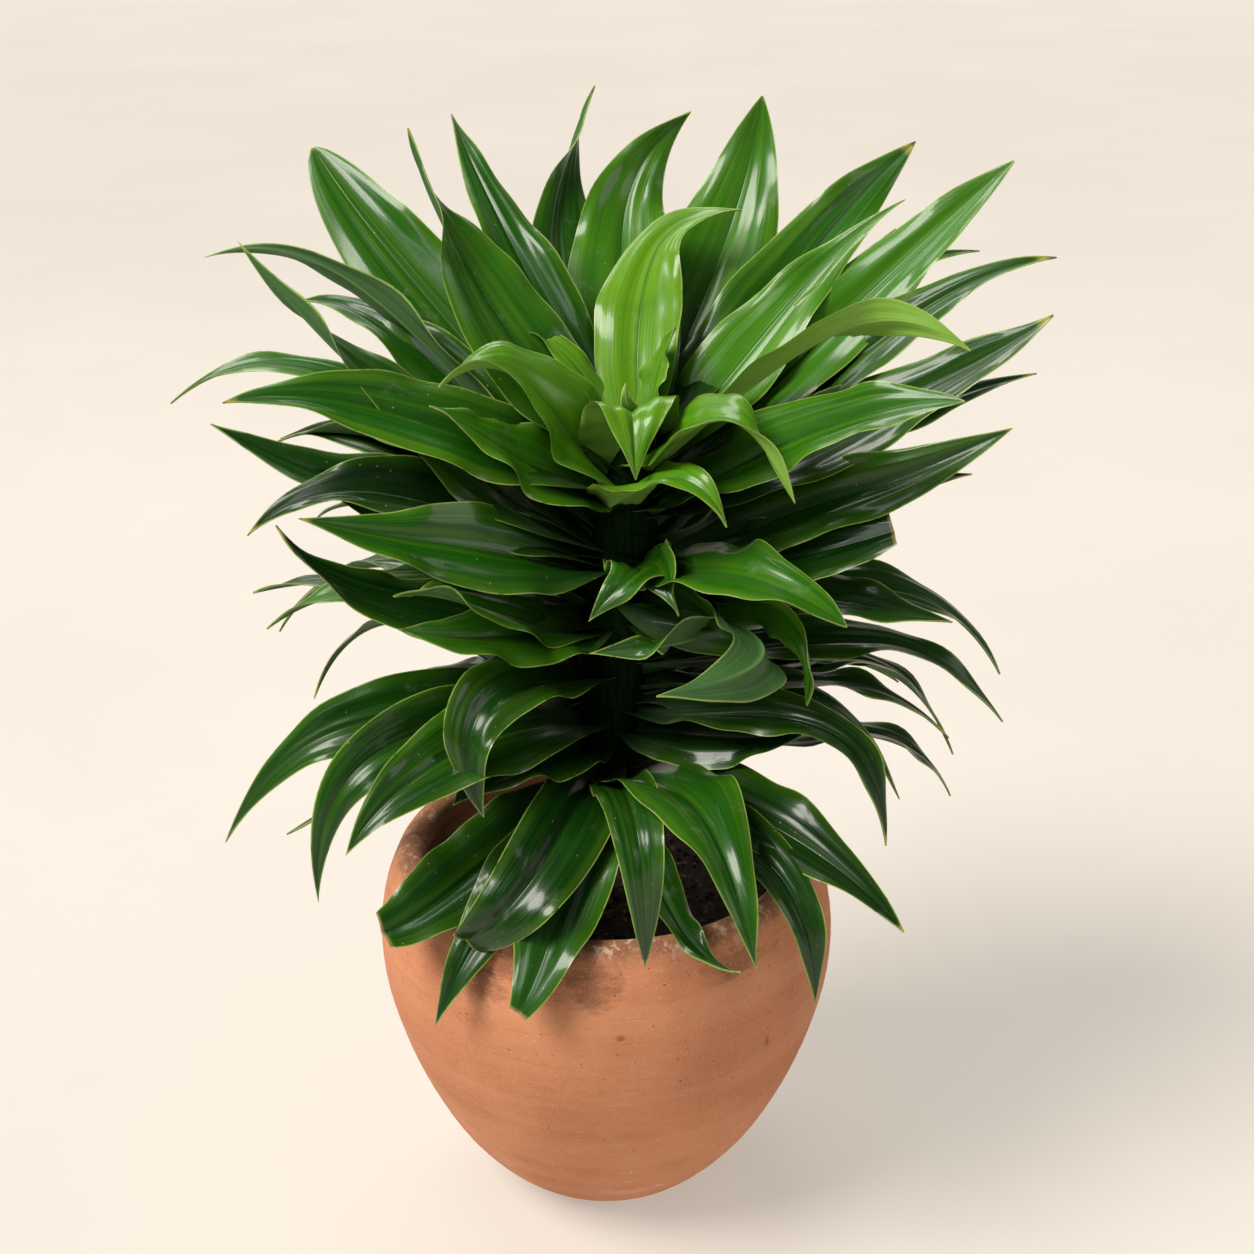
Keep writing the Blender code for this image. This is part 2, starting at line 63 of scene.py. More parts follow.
# %% Camera
CAMERA_PLACE = (0.00982, -0.87755, 0.68428)
CAMERA_PITCH = 24.0
LENS, SENSOR_WIDTH = 60.0, 36.0  # both in millimetres, as Blender has them
camera_data = bpy.data.cameras.new("camera")
camera_data.lens = LENS
camera_data.sensor_width = SENSOR_WIDTH
camera = bpy.data.objects.new("camera", camera_data)
camera.location = CAMERA_PLACE
camera.rotation_euler = (math.radians(90 - CAMERA_PITCH), 0, 0)
bpy.context.collection.objects.link(camera)
bpy.context.scene.camera = camera
print("camera at", CAMERA_PLACE)

# %% [markdown]
# ## Floor and light
# A sheet that lies flat and then sweeps up behind the plant gives a pale
# ground with no corner. It is a curve pushed sideways, so two numbers, the
# way along the curve and the way across, give every point of it.

# %% A grid of points made into a mesh
def grid_faces(rows, columns, around=False):
    """Four corner numbers for each cell of a grid; around also joins the
    last column to the first."""
    row = np.arange(rows - 1)[:, None] * columns
    start = np.arange(columns if around else columns - 1)[None]
    end = (start + 1) % columns
    cells = [row + start, row + end, row + columns + end, row + columns + start]
    return np.stack(cells, -1).reshape(-1, 4)


def new_piece(name, points, *face_sets):
    """A smooth mesh object at the origin, with its place in its points. Its
    faces are turned over if the volumes between them and the origin add up
    to less than zero."""
    points = np.asarray(points, float).reshape(-1, 3)
    volume = 0
    for faces in face_sets:
        a, b, c = (points[faces[:, i]] for i in (0, 1, 2))
        volume += np.einsum("ij,ij", a, np.cross(b, c))
        if faces.shape[1] == 4:
            volume += np.einsum("ij,ij", a, np.cross(c, points[faces[:, 3]]))
    order = -1 if volume < 0 else 1
    corners = np.concatenate([f[:, ::order].ravel() for f in face_sets])
    sizes = np.concatenate([np.full(len(f), f.shape[1]) for f in face_sets])
    mesh = bpy.data.meshes.new(name)
    mesh.vertices.add(len(points))
    mesh.vertices.foreach_set("co", points.astype(np.float32).ravel())
    mesh.loops.add(len(corners))
    mesh.loops.foreach_set("vertex_index", corners.astype(np.int32))
    mesh.polygons.add(len(sizes))
    starts = np.r_[0, np.cumsum(sizes)[:-1]]
    mesh.polygons.foreach_set("loop_start", starts.astype(np.int32))
    mesh.polygons.foreach_set("use_smooth", np.ones(len(sizes), bool))
    mesh.update(calc_edges=True)
    piece = bpy.data.objects.new(name, mesh)
    bpy.context.collection.objects.link(piece)
    print(name, len(points), "points", len(sizes), "faces")
    return piece


# %% The sweep
SWEEP_HALF_WIDTH = 12.0
SWEEP_FRONT, SWEEP_BACK = -8.0, 6.0
SWEEP_RADIUS, SWEEP_TOP = 3.0, 9.0
BEND_POINTS = 25
bend = np.radians(np.linspace(0, 90, BEND_POINTS))
sweep_y = np.r_[SWEEP_FRONT, SWEEP_BACK + SWEEP_RADIUS * np.sin(bend),
                SWEEP_BACK + SWEEP_RADIUS]
sweep_z = np.r_[0, SWEEP_RADIUS * (1 - np.cos(bend)), SWEEP_TOP]
sweep_x = np.array([-SWEEP_HALF_WIDTH, SWEEP_HALF_WIDTH])
sweep_grid = np.stack([np.broadcast_to(sweep_x, (len(sweep_y), 2)),
                       np.repeat(sweep_y[:, None], 2, 1),
                       np.repeat(sweep_z[:, None], 2, 1)], -1)
floor = new_piece("floor", sweep_grid, grid_faces(len(sweep_y), 2)[:, ::-1])

# %% [markdown]
# Window light falls from the left and in front, high up. It comes from far
# away, so the ground is evenly lit, and from a wide patch of sky, so shadows
# are soft. Three panels, in front, to the right and behind, add the long pale
# streaks on the leaves. The sky all round is dim, which leaves the inside of
# the bush nearly black.

# %% Lights
PLANT_MIDDLE = (0, 0, 0.27)
SUN_WAY, SUN_SPREAD = (0.58, 0.28, -0.80), 30
SUN_STRENGTH, SUN_COLOUR = 4.0, (1.0, 0.955, 0.89)
SKY_STRENGTH, SKY_COLOUR = 0.10, (1.0, 0.965, 0.91, 1)
# each panel's place, its two sides in metres, its watts and its colour
PANELS = {"sky_front": ((-0.7, -1.5, 1.6), (0.9, 0.5), 5, (0.95, 0.98, 1.0)),
          "sky_right": ((1.7, -0.9, 1.0), (1.0, 1.0), 7, (1.0, 0.97, 0.93)),
          "sky_back": ((-0.3, 0.95, 1.5), (1.3, 0.5), 10, (1.0, 0.98, 0.95))}


def new_light(name, kind, way, energy, colour):
    """A light of that kind at the origin, turned to shine along way."""
    data = bpy.data.lights.new(name, kind)
    data.energy = energy
    data.color = colour
    light = bpy.data.objects.new(name, data)
    light.rotation_euler = Vector(way).to_track_quat("-Z", "Y").to_euler()
    bpy.context.collection.objects.link(light)
    return light


sun = new_light("window", "SUN", SUN_WAY, SUN_STRENGTH, SUN_COLOUR)
sun.data.angle = math.radians(SUN_SPREAD)
for name, (place, sides, watts, colour) in PANELS.items():
    way = Vector(PLANT_MIDDLE) - Vector(place)
    panel = new_light(name, "AREA", way, watts, colour)
    panel.location = place
    panel.data.shape = "RECTANGLE"
    panel.data.size, panel.data.size_y = sides
world = bpy.data.worlds.new("studio")
world.use_nodes = True
sky = world.node_tree.nodes["Background"].inputs
sky["Color"].default_value = SKY_COLOUR
sky["Strength"].default_value = SKY_STRENGTH
bpy.context.scene.world = world
bpy.context.scene.view_settings.view_transform = "Standard"
print("lights:", [o.name for o in bpy.data.objects if o.type == "LIGHT"])

# %% [markdown]
# ## How a finish is written
# A finish is a sum of signals: how far across the leaf a point lies, how old
# the leaf is, a noise. A small class wraps a socket, so that signals add and
# multiply like numbers, and each operation quietly adds its Math node.

# %% Signals and finishes
class Signal:
    """A number that changes over a surface. Sums and products of signals
    and numbers are signals again."""

    def __init__(self, finish, socket):
        self.finish, self.socket = finish, socket

    def math(self, operation, *values):
        return self.finish.node("ShaderNodeMath", {"operation": operation},
                                dict(enumerate(values)))

    def __add__(self, other):
        return self.math("ADD", self, other)

    def __sub__(self, other):
        return self.math("SUBTRACT", self, other)

    def __mul__(self, other):
        return self.math("MULTIPLY", self, other)

    def __rsub__(self, other):
        return self.math("SUBTRACT", other, self)

    def __abs__(self):
        return self.math("ABSOLUTE", self)

    __radd__ = __add__
    __rmul__ = __mul__

    def rise(self, low, high):
        """0 below low and 1 above high, with a soft step between; low may
        be the larger, for a signal that falls."""
        flip = low > high
        step = self.finish.node(
            "ShaderNodeMapRange", {"interpolation_type": "SMOOTHSTEP"},
            {"Value": self, "From Min": min(low, high),
             "From Max": max(low, high)}, "Result")
        return 1 - step if flip else step


class Finish:
    """A material with one Principled shader, and the nodes that feed it."""

    def __init__(self, name, **constants):
        self.material = bpy.data.materials.new(name)
        self.material.use_nodes = True
        self.tree = self.material.node_tree
        self.shader = self.tree.nodes["Principled BSDF"]
        for label, value in constants.items():
            self.shader.inputs[label.replace("_", " ")].default_value = value

    def node(self, kind, settings=(), inputs=(), output=0):
        """A node of that kind: its settings first, then the values or links
        of its sockets. Its output comes back as a signal."""
        made = self.tree.nodes.new(kind)
        settings = dict(settings)
        stops = settings.pop("stops", None)
        for label, value in settings.items():
            setattr(made, label, value)
        if stops:
            ramp = made.color_ramp
            while len(ramp.elements) < len(stops):
                ramp.elements.new(1)
            for element, (place, colour) in zip(ramp.elements, stops):
                element.position, element.color = place, (*colour, 1)
        for label, value in dict(inputs).items():
            socket = made.inputs[label]
            if isinstance(value, Signal):
                self.tree.links.new(value.socket, socket)
            elif isinstance(value, tuple) and len(value) == 3 and \
                    socket.type == "RGBA":
                socket.default_value = (*value, 1)
            else:
                socket.default_value = value
        return Signal(self, made.outputs[output])

    def place(self):
        return self.node("ShaderNodeTexCoord", output="Object")

    def part(self, vector, axis):
        return self.node("ShaderNodeSeparateXYZ", (), {0: vector}, axis)

    def join(self, x, y, z):
        return self.node("ShaderNodeCombineXYZ", (), {0: x, 1: y, 2: z})

    def stretch(self, vector, factors):
        return self.node("ShaderNodeVectorMath", {"operation": "MULTIPLY"},
                         {0: vector, 1: factors})

    def noise(self, vector, scale, detail=3.0, roughness=0.55):
        return self.node("ShaderNodeTexNoise", (),
                         {"Vector": vector, "Scale": scale, "Detail": detail,
                          "Roughness": roughness})

    def cells(self, vector, scale, output="Distance"):
        return self.node("ShaderNodeTexVoronoi", (),
                         {"Vector": vector, "Scale": scale}, output)

    def attribute(self, name):
        return self.node("ShaderNodeAttribute", {"attribute_name": name},
                         output="Fac")

    def mix(self, share, first, second):
        """The colour first, going over to second as share goes to 1."""
        return self.node("ShaderNodeMix", {"data_type": "RGBA"},
                         {0: share, 6: first, 7: second}, 2)

    def layers(self, colour, *coats):
        """colour, with each coat's tint laid over it in turn by its share."""
        for share, tint in coats:
            colour = self.mix(share, colour, tint)
        return colour

    def ramp(self, signal, *stops):
        return self.node("ShaderNodeValToRGB", {"stops": stops},
                         {"Fac": signal})

    def feed(self, **signals):
        for label, signal in signals.items():
            self.tree.links.new(signal.socket,
                                self.shader.inputs[label.replace("_", " ")])

    def bump(self, height, distance, strength):
        """height in parts of distance, which is in metres."""
        return self.node("ShaderNodeBump", (),
                         {"Height": height, "Distance": distance,
                          "Strength": strength})

    def cover(self, *pieces):
        """Puts this finish on the pieces, in place of any they have."""
        for piece in pieces:
            piece.data.materials.clear()
            piece.data.materials.append(self.material)
        print(self.material.name, "has", len(self.tree.nodes), "nodes")


# %% [markdown]
# The ground is matte and pale, with broad faint clouds. It glows a little, in
# place of the light that pale surroundings would throw back.

# %% The floor's finish
FLOOR_DARK, FLOOR_PALE = (0.36, 0.335, 0.30), (0.39, 0.36, 0.325)
plaster = Finish("pale_floor", Roughness=0.6, Specular_IOR_Level=0.3,
                 Emission_Color=(1, 0.93, 0.83, 1), Emission_Strength=0.39)
floor_cloud = plaster.noise(plaster.place(), 2.5, 4).rise(0.3, 0.7)
plaster.feed(Base_Color=plaster.mix(floor_cloud, FLOOR_DARK, FLOOR_PALE))
plaster.cover(floor)

# %% [markdown]
# ## Pot
# The pot was thrown on a wheel: one profile, carried round an axis. The
# profile runs up the outside, over the lip and down the inside. A hand-made
# pot is never quite round, so slow waves of a few tenths of a millimetre ride
# on the radius.

# %% The pot's two walls, as radius and height
OUTER_WALL = ((0.042, 0), (0.0530, 0.0080), (0.0760, 0.0340),
              (0.0910, 0.0620), (0.1020, 0.0920), (0.1085, 0.1220),
              (0.1083, 0.1490), (0.1032, 0.1690), (0.0970, 0.1803),
              (0.0915, 0.1830))
INNER_WALL = ((0.0868, 0.1800), (0.0868, 0.1730), (0.0925, 0.1610),
              (0.0970, 0.1460), (0.0972, 0.1220), (0.0908, 0.0920),
              (0.0665, 0.0400), (0.0340, 0.0125))
OUTER_POINTS, INNER_POINTS, POT_STEPS = 96, 72, 200


def smooth_line(corners, count):
    """count points on a cubic through the corners, spaced by length. The
    slope at a corner is the mean of the pieces beside it, and the shorter
    piece counts for more."""
    corners = np.asarray(corners, float)
    run = np.r_[0, np.cumsum(np.linalg.norm(np.diff(corners, axis=0), axis=1))]
    slope = np.gradient(corners, run, axis=0)
    at = np.linspace(0, run[-1], count)
    i = np.clip(np.searchsorted(run, at, "right") - 1, 0, len(run) - 2)
    step = (run[i + 1] - run[i])[:, None]
    t = (at - run[i])[:, None] / step
    return ((1 + 2 * t) * (1 - t) ** 2 * corners[i]
            + t * (1 - t) ** 2 * step * slope[i]
            + t * t * (3 - 2 * t) * corners[i + 1]
            + t * t * (t - 1) * step * slope[i + 1])


def turned_grid(profile, steps, wobble=None):
    """Radius and height carried round Z: x = r cos a, y = r sin a. wobble
    gives an extra radius for each height and angle."""
    angle = np.arange(steps) * TURN / steps
    radius = np.repeat(profile[:, :1], steps, 1)
    if wobble is not None:
        radius = radius + wobble(profile[:, 1:], angle[None])
    return np.stack([radius * np.cos(angle), radius * np.sin(angle),
                     np.repeat(profile[:, 1:], steps, 1)], -1)


def turned_faces(rows, steps):
    """The side cells, and at each end a fan of triangles to one point more:
    the point numbered rows * steps closes the start, and the next the end."""
    ring = np.arange(steps)
    after = (ring + 1) % steps
    end = (rows - 1) * steps
    start_fan = np.stack([after, ring, np.full(steps, rows * steps)], -1)
    end_fan = np.stack([end + ring, end + after,
                        np.full(steps, rows * steps + 1)], -1)
    return grid_faces(rows, steps, around=True), start_fan, end_fan


def turned_piece(name, profile, steps, wobble=None, centre=(0, 0, 0)):
    """The grid of turned_grid round centre, closed with a point on the axis
    at each end of the profile."""
    grid = turned_grid(profile, steps, wobble)
    ends = [[0, 0, profile[0, 1]], [0, 0, profile[-1, 1]]]
    return new_piece(name, np.r_[grid.reshape(-1, 3), ends] + centre,
                     *turned_faces(len(profile), steps))


# %% [markdown]
# The profile closes on the axis at both ends, so the wall and the floor are
# one solid, and three drain holes can be drilled in it with a Boolean.

# %% The pot, with its drain holes
DRAIN_HOLES, DRAIN_RADIUS, DRAIN_RING = 3, 6 * MM, 22 * MM
DRILL_HEIGHTS, DRILL_STEPS = (-0.01, 0.03), 32
RIDGE_PITCH = 0.007


def hand_wobble(height, angle):
    """Slow waves round the pot, which drift with height: two lobes of 0.3
    mm and three of 0.2 mm, and a faint ridge every RIDGE_PITCH. The slow
    waves fade out over the lowest 20 mm."""
    slow = 0.3 * np.sin(2 * angle + 9 * height) \
        + 0.2 * np.sin(3 * angle - 14 * height + 1)
    ridges = 0.06 * np.sin(TURN * height / RIDGE_PITCH + 0.6 * np.sin(angle))
    return MM * (slow * np.clip(height / 0.02, 0, 1) + ridges)


def drilled(piece, cutter):
    """piece less cutter, applied, and cutter removed."""
    cut = piece.modifiers.new("drain", "BOOLEAN")
    cut.object, cut.operation, cut.solver = cutter, "DIFFERENCE", "EXACT"
    graph = bpy.context.evaluated_depsgraph_get()
    mesh = bpy.data.meshes.new_from_object(piece.evaluated_get(graph))
    piece.modifiers.clear()
    piece.data = mesh
    bpy.data.objects.remove(cutter)


wall_line = np.r_[smooth_line(OUTER_WALL, OUTER_POINTS),
                  smooth_line(INNER_WALL, INNER_POINTS)]
pot = turned_piece("clay_pot", wall_line, POT_STEPS, hand_wobble)
drill_line = np.array([[DRAIN_RADIUS, height] for height in DRILL_HEIGHTS])
for hole in range(DRAIN_HOLES):
    turn = (hole + 0.5) * TURN / DRAIN_HOLES
    centre = (DRAIN_RING * math.cos(turn), DRAIN_RING * math.sin(turn), 0)
    drilled(pot, turned_piece("drill", drill_line, DRILL_STEPS, centre=centre))
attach(pot, "root")
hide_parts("pot")
print("pot:", len(pot.data.polygons), "faces")

# %% [markdown]
# Unglazed clay is orange, matte and uneven. Watering has left a pale bloom
# low down, dark stains just under the lip, and a brown crust on the lip where
# roots and water meet it. Fine pits open all over the skin.

# %% The clay's own colour
CLAY_RED, CLAY_PALE = (0.47, 0.175, 0.082), (0.61, 0.253, 0.125)
CLAY_BAND, CLAY_STREAK = (0.66, 0.31, 0.17), (0.40, 0.15, 0.07)
clay = Finish("terracotta", Specular_IOR_Level=0.35)
at = clay.place()
height = clay.part(at, 2)
cloud = clay.noise(at, 14, 5, 0.6)
streaks = clay.noise(clay.stretch(at, (6, 6, 60)), 3, 4, 0.6)
bands = clay.noise(clay.stretch(at, (2, 2, 40)), 2, 2)
colour = clay.layers(CLAY_RED, (cloud.rise(0.3, 0.72), CLAY_PALE),
                     (bands.rise(0.42, 0.62) * 0.25, CLAY_BAND),
                     (streaks.rise(0.6, 0.75) * 0.2, CLAY_STREAK))
print("clay colour:", len(clay.tree.nodes), "nodes")

# %% [markdown]
# The marks lie on top. Lime blooms low on the belly and in scuffs. A stain is
# a spot whose edge a noise tears up, and so is the crust's edge.

# %% Bloom, stains and crust
LIME, SCUFF = (0.74, 0.50, 0.37), (0.80, 0.60, 0.47)
STAIN, CRUST = (0.15, 0.060, 0.030), (0.17, 0.075, 0.035)
CRUST_LIME = (0.62, 0.44, 0.33)
# each stain's centre, its half sizes and how ragged it is; two are chips
STAINS = (((-0.006, -0.100, 0.167), (0.017, 0.03, 0.014), 2.4),
          ((-0.034, -0.096, 0.170), (0.030, 0.03, 0.009), 2.6),
          ((-0.058, -0.088, 0.160), (0.016, 0.03, 0.012), 2.6),
          ((0.060, -0.080, 0.168), (0.018, 0.03, 0.008), 2.6),
          ((0.007, -0.108, 0.143), (0.003, 0.01, 0.0022), 1.2),
          ((0.074, -0.079, 0.121), (0.0014, 0.01, 0.0042), 1.0))
bloom = clay.noise(clay.stretch(at, (1, 1, 2.2)), 26, 5, 0.7).rise(0.55, 0.75)
low = height.rise(0.075, 0.01)
scuff = clay.noise(clay.stretch(at, (1, 1, 5)), 60, 3, 0.7).rise(0.62, 0.68) \
    * cloud.rise(0.52, 0.62)


def stain(centre, size, edge):
    """1 inside an uneven spot round centre, 0 outside: the distance from
    the centre in parts of size, made ragged by a noise of edge."""
    away = clay.node("ShaderNodeVectorMath", {"operation": "SUBTRACT"},
                     {0: at, 1: centre})
    away = clay.stretch(away, tuple(1 / s for s in size))
    far = clay.node("ShaderNodeVectorMath", {"operation": "LENGTH"},
                    {0: away}, "Value")
    ragged = clay.noise(clay.stretch(at, (1, 1, 2.5)), 75, 5, 0.7) - 0.5
    return (far + ragged * edge).rise(1.05, 0.25)


lip_edge = height + (clay.noise(at, 70, 5, 0.7) - 0.5) * 0.02
lip_crust = lip_edge.rise(0.1735, 0.1830)
lip_lime = lip_crust * clay.noise(at, 160, 4, 0.7).rise(0.52, 0.62)
colour = clay.layers(
    colour, (bloom * (0.12 + 0.5 * low), LIME),
    (scuff * (0.15 + 0.75 * low), SCUFF),
    *((stain(*spot) * 0.62, STAIN) for spot in STAINS),
    (lip_crust * 0.75, CRUST), (lip_lime * 0.75, CRUST_LIME))
print("with marks:", len(clay.tree.nodes), "nodes")

# %% [markdown]
# Last come pits, grit and relief. A pit is the middle of a Voronoi cell, kept
# only where a noise is high, so that pits come in groups.

# %% Pits, grit and relief
PIT, GRIT = (0.16, 0.065, 0.03), (0.75, 0.42, 0.25)
CLAY_RELIEF = 0.25 * MM
grain = clay.noise(at, 900, 2)
pit = clay.cells(at, 260).rise(0.16, 0.05) \
    * clay.noise(at, 90, 2).rise(0.52, 0.60)
colour = clay.layers(colour, (pit * 0.75, PIT),
                     ((grain - 0.5).rise(0.02, 0.2) * 0.25, GRIT))
rough = 0.86 - 0.12 * bloom + 0.06 * grain
skin = clay.noise(at, 420, 4, 0.65) * 0.5 + streaks * 0.5 - pit * 2.0
scratch = clay.noise(clay.stretch(at, (3, 3, 60)), 12, 2).rise(0.62, 0.70)
clay.feed(Base_Color=colour, Roughness=rough,
          Normal=clay.bump(skin - 0.6 * scratch, CLAY_RELIEF, 0.8))
clay.cover(pot)

# %% [markdown]
# ## Soil
# Potting mix is dark, damp and crumbly. It fills the pot to two or three
# centimetres below the lip: a turned shape again, whose top is pushed up and
# down by a sum of waves at several scales.

# %% The soil
SOIL_RIM, SOIL_GAP = 0.0938, 0.6 * MM
TOP_POINTS, SOIL_STEPS = 90, 180
GROUND_SEED, GROUND_WAVES = 4, 7
# how wide the ground's waves are, in metres, and how tall, in millimetres
GROUND = ((0.03, 1.0), (0.014, 0.9), (0.006, 0.7), (0.003, 0.4))
soil_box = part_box("soil")


def rough_ground(x, y):
    """A height for each place: for each scale, plane waves in random
    directions, each with its own phase, sharpened by an absolute value."""
    draw = np.random.default_rng(GROUND_SEED)
    total = np.zeros_like(x)
    for scale, tall in GROUND:
        for _ in range(GROUND_WAVES):
            turn, phase = draw.uniform(0, TURN, 2)
            way = (x * math.cos(turn) + y * math.sin(turn)) / scale
            total += tall * MM * (0.6 - np.abs(np.sin(way + phase))) / 3
    return total


def soil_line():
    """Top from the middle to the rim, then down the side and to the floor,
    SOIL_GAP off the pot's inner wall."""
    top = smooth_line(((0.004, 0.1602), (0.030, 0.1592), (0.060, 0.1570),
                       (0.080, 0.1560), (SOIL_RIM, 0.1552)), TOP_POINTS)
    wall = smooth_line(INNER_WALL, INNER_POINTS)
    wall = wall[wall[:, 1] < 0.153] - [SOIL_GAP, 0]
    return np.r_[top, wall, [[0.0100, 0.0131]]]


soil_profile = soil_line()
grid = turned_grid(soil_profile, SOIL_STEPS)
# the waves fade to nothing within 4 mm of the wall, and below the top
on_top = np.clip((soil_profile[:, 1] - 0.150) / 0.004, 0, 1)[:, None]
inward = np.clip((0.0945 - soil_profile[:, 0]) / 0.004, 0, 1)[:, None]
grid[..., 2] += on_top * inward * rough_ground(grid[..., 0], grid[..., 1])
middle = [[0, 0, soil_profile[0, 1]], [0, 0, soil_profile[-1, 1]]]
soil = new_piece("potting_mix", np.r_[grid.reshape(-1, 3), middle],
                 *turned_faces(len(soil_profile), SOIL_STEPS))
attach(soil, "root")
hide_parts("soil")
print("soil's top:", grid[..., 2].max(), "the solid's:", soil_box[1][2])

# %% [markdown]
# A crumb is a small lumpy ball with few faces. Six hundred of them are made
# at once: one little sphere, repeated with random sizes and places, and each
# point pushed in or out at random. They sit partly sunk in the soil.

# %% The crumbs
CRUMBS = 600
CRUMB_RADII, CRUMB_SQUEEZE, CRUMB_LUMPS = (0.6, 2.2), (0.5, 1.2), (0.75, 1.2)
CRUMB_LIFT = 0.3 * MM


def small_ball(rings, steps):
    """A sphere of radius 1: rings between the poles, and the two poles."""
    polar = np.arange(1, rings + 1) * math.pi / (rings + 1)
    turned = turned_grid(np.stack([np.sin(polar), np.cos(polar)], 1), steps)
    points = np.r_[turned.reshape(-1, 3), [[0, 0, 1], [0, 0, -1]]]
    return points, turned_faces(rings, steps)


def many(points, face_sets, count):
    """The face sets of count copies of a shape with that many points."""
    shift = np.arange(count)[:, None, None] * points
    return [(f[None] + shift).reshape(-1, f.shape[1]) for f in face_sets]


draw = np.random.default_rng(11)
ball, ball_faces = small_ball(3, 6)
spread = np.sqrt(draw.uniform(0.02, 1, CRUMBS)) * (SOIL_RIM - 6 * MM)
around = draw.uniform(0, TURN, CRUMBS)
crumb_x, crumb_y = spread * np.cos(around), spread * np.sin(around)
crumb_size = draw.uniform(*CRUMB_RADII, CRUMBS)[:, None, None] * MM \
    * draw.uniform(*CRUMB_SQUEEZE, (CRUMBS, 1, 3)) * [1, 1, 0.7]
lumps = ball[None] * draw.uniform(*CRUMB_LUMPS, (CRUMBS, len(ball), 1))
top_line = soil_profile[:TOP_POINTS]
ground = np.interp(spread, top_line[:, 0], top_line[:, 1]) \
    + rough_ground(crumb_x, crumb_y)
seat = np.stack([crumb_x, crumb_y, ground + CRUMB_LIFT], -1)[:, None]
crumbs = new_piece("soil_crumbs", lumps * crumb_size + seat,
                   *many(len(ball), ball_faces, CRUMBS))
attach(crumbs, "root")
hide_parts("soil")

# %% [markdown]
# Damp mix is nearly black, with paler threads. Each Voronoi cell has a random
# colour, and the few whose red is high become flecks of bark.

# %% The soil's finish
PEAT_DARK, PEAT_PALE = (0.012, 0.008, 0.005), (0.055, 0.034, 0.021)
BARK_FLECK, SOIL_RELIEF = (0.16, 0.10, 0.06), 0.5 * MM
peat = Finish("potting_soil", Specular_IOR_Level=0.25)
at = peat.place()
fibre = peat.noise(at, 240, 5, 0.7)
flecks = peat.cells(at, 420, output="Color")
fleck = peat.part(flecks, 0).rise(0.93, 0.97)
colour = peat.layers(PEAT_DARK, (fibre.rise(0.35, 0.7), PEAT_PALE),
                     (fleck * 0.8, BARK_FLECK))
relief = fibre + peat.noise(at, 900, 3)
peat.feed(Base_Color=colour, Roughness=0.78 + 0.18 * fibre,
          Normal=peat.bump(relief, SOIL_RELIEF, 0.9))
peat.cover(soil, crumbs)

# %% [markdown]
# ## Cane
# The bare cane shows where leaves once grew: each left a thin ring, a little
# proud of the bark. The rings are waves along the height, and their height
# wanders round the cane, so that no two lie quite parallel.

# %% The cane
CANE_FOOT, CANE_TOP, CANE_RADIUS = 0.050, 0.1975, 10.8 * MM
CANE_ROWS, CANE_STEPS = 260, 72
SCAR_PITCH = 8 * MM


def bark_wobble(height, angle):
    """Scar rings: a sharp ridge every SCAR_PITCH, tilted and wavy; between
    them fine lengthwise cracks."""
    way = height / SCAR_PITCH + 0.18 * np.sin(angle + 40 * height) \
        + 0.06 * np.sin(3 * angle + 90 * height)
    ridge = np.exp(-((way % 1 - 0.5) / 0.13) ** 2)
    cracks = np.abs(np.sin(9 * angle + 2 * np.sin(60 * height)))
    return MM * (0.55 * ridge - 0.3 * (1 - cracks) ** 2 - 0.35)


cane_height = np.linspace(CANE_FOOT, CANE_TOP, CANE_ROWS)
cane_line = np.stack([np.full(CANE_ROWS, CANE_RADIUS), cane_height], 1)
cane = turned_piece("bare_cane", cane_line, CANE_STEPS, bark_wobble)
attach(cane, "root")
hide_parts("cane")

# %% [markdown]
# The bark's grain runs up the cane, and pale bands run across it: two noises
# on coordinates that are stretched one way or the other.

# %% The bark's finish
BARK_DARK, BARK_PALE = (0.075, 0.045, 0.025), (0.25, 0.17, 0.10)
BARK_RING, BARK_RELIEF = (0.34, 0.27, 0.18), 0.4 * MM
bark = Finish("cane_bark", Specular_IOR_Level=0.3)
at = bark.place()
grain = bark.noise(bark.stretch(at, (6, 6, 1)), 90, 5, 0.65)
ring = bark.noise(bark.stretch(at, (1, 1, 8)), 60, 3)
colour = bark.layers(BARK_DARK, (grain.rise(0.3, 0.7), BARK_PALE),
                     (ring.rise(0.55, 0.7) * 0.6, BARK_RING))
bark.feed(Base_Color=colour, Roughness=0.7 + 0.2 * grain,
          Normal=bark.bump(grain + 0.5 * ring, BARK_RELIEF, 0.8))
bark.cover(cane)
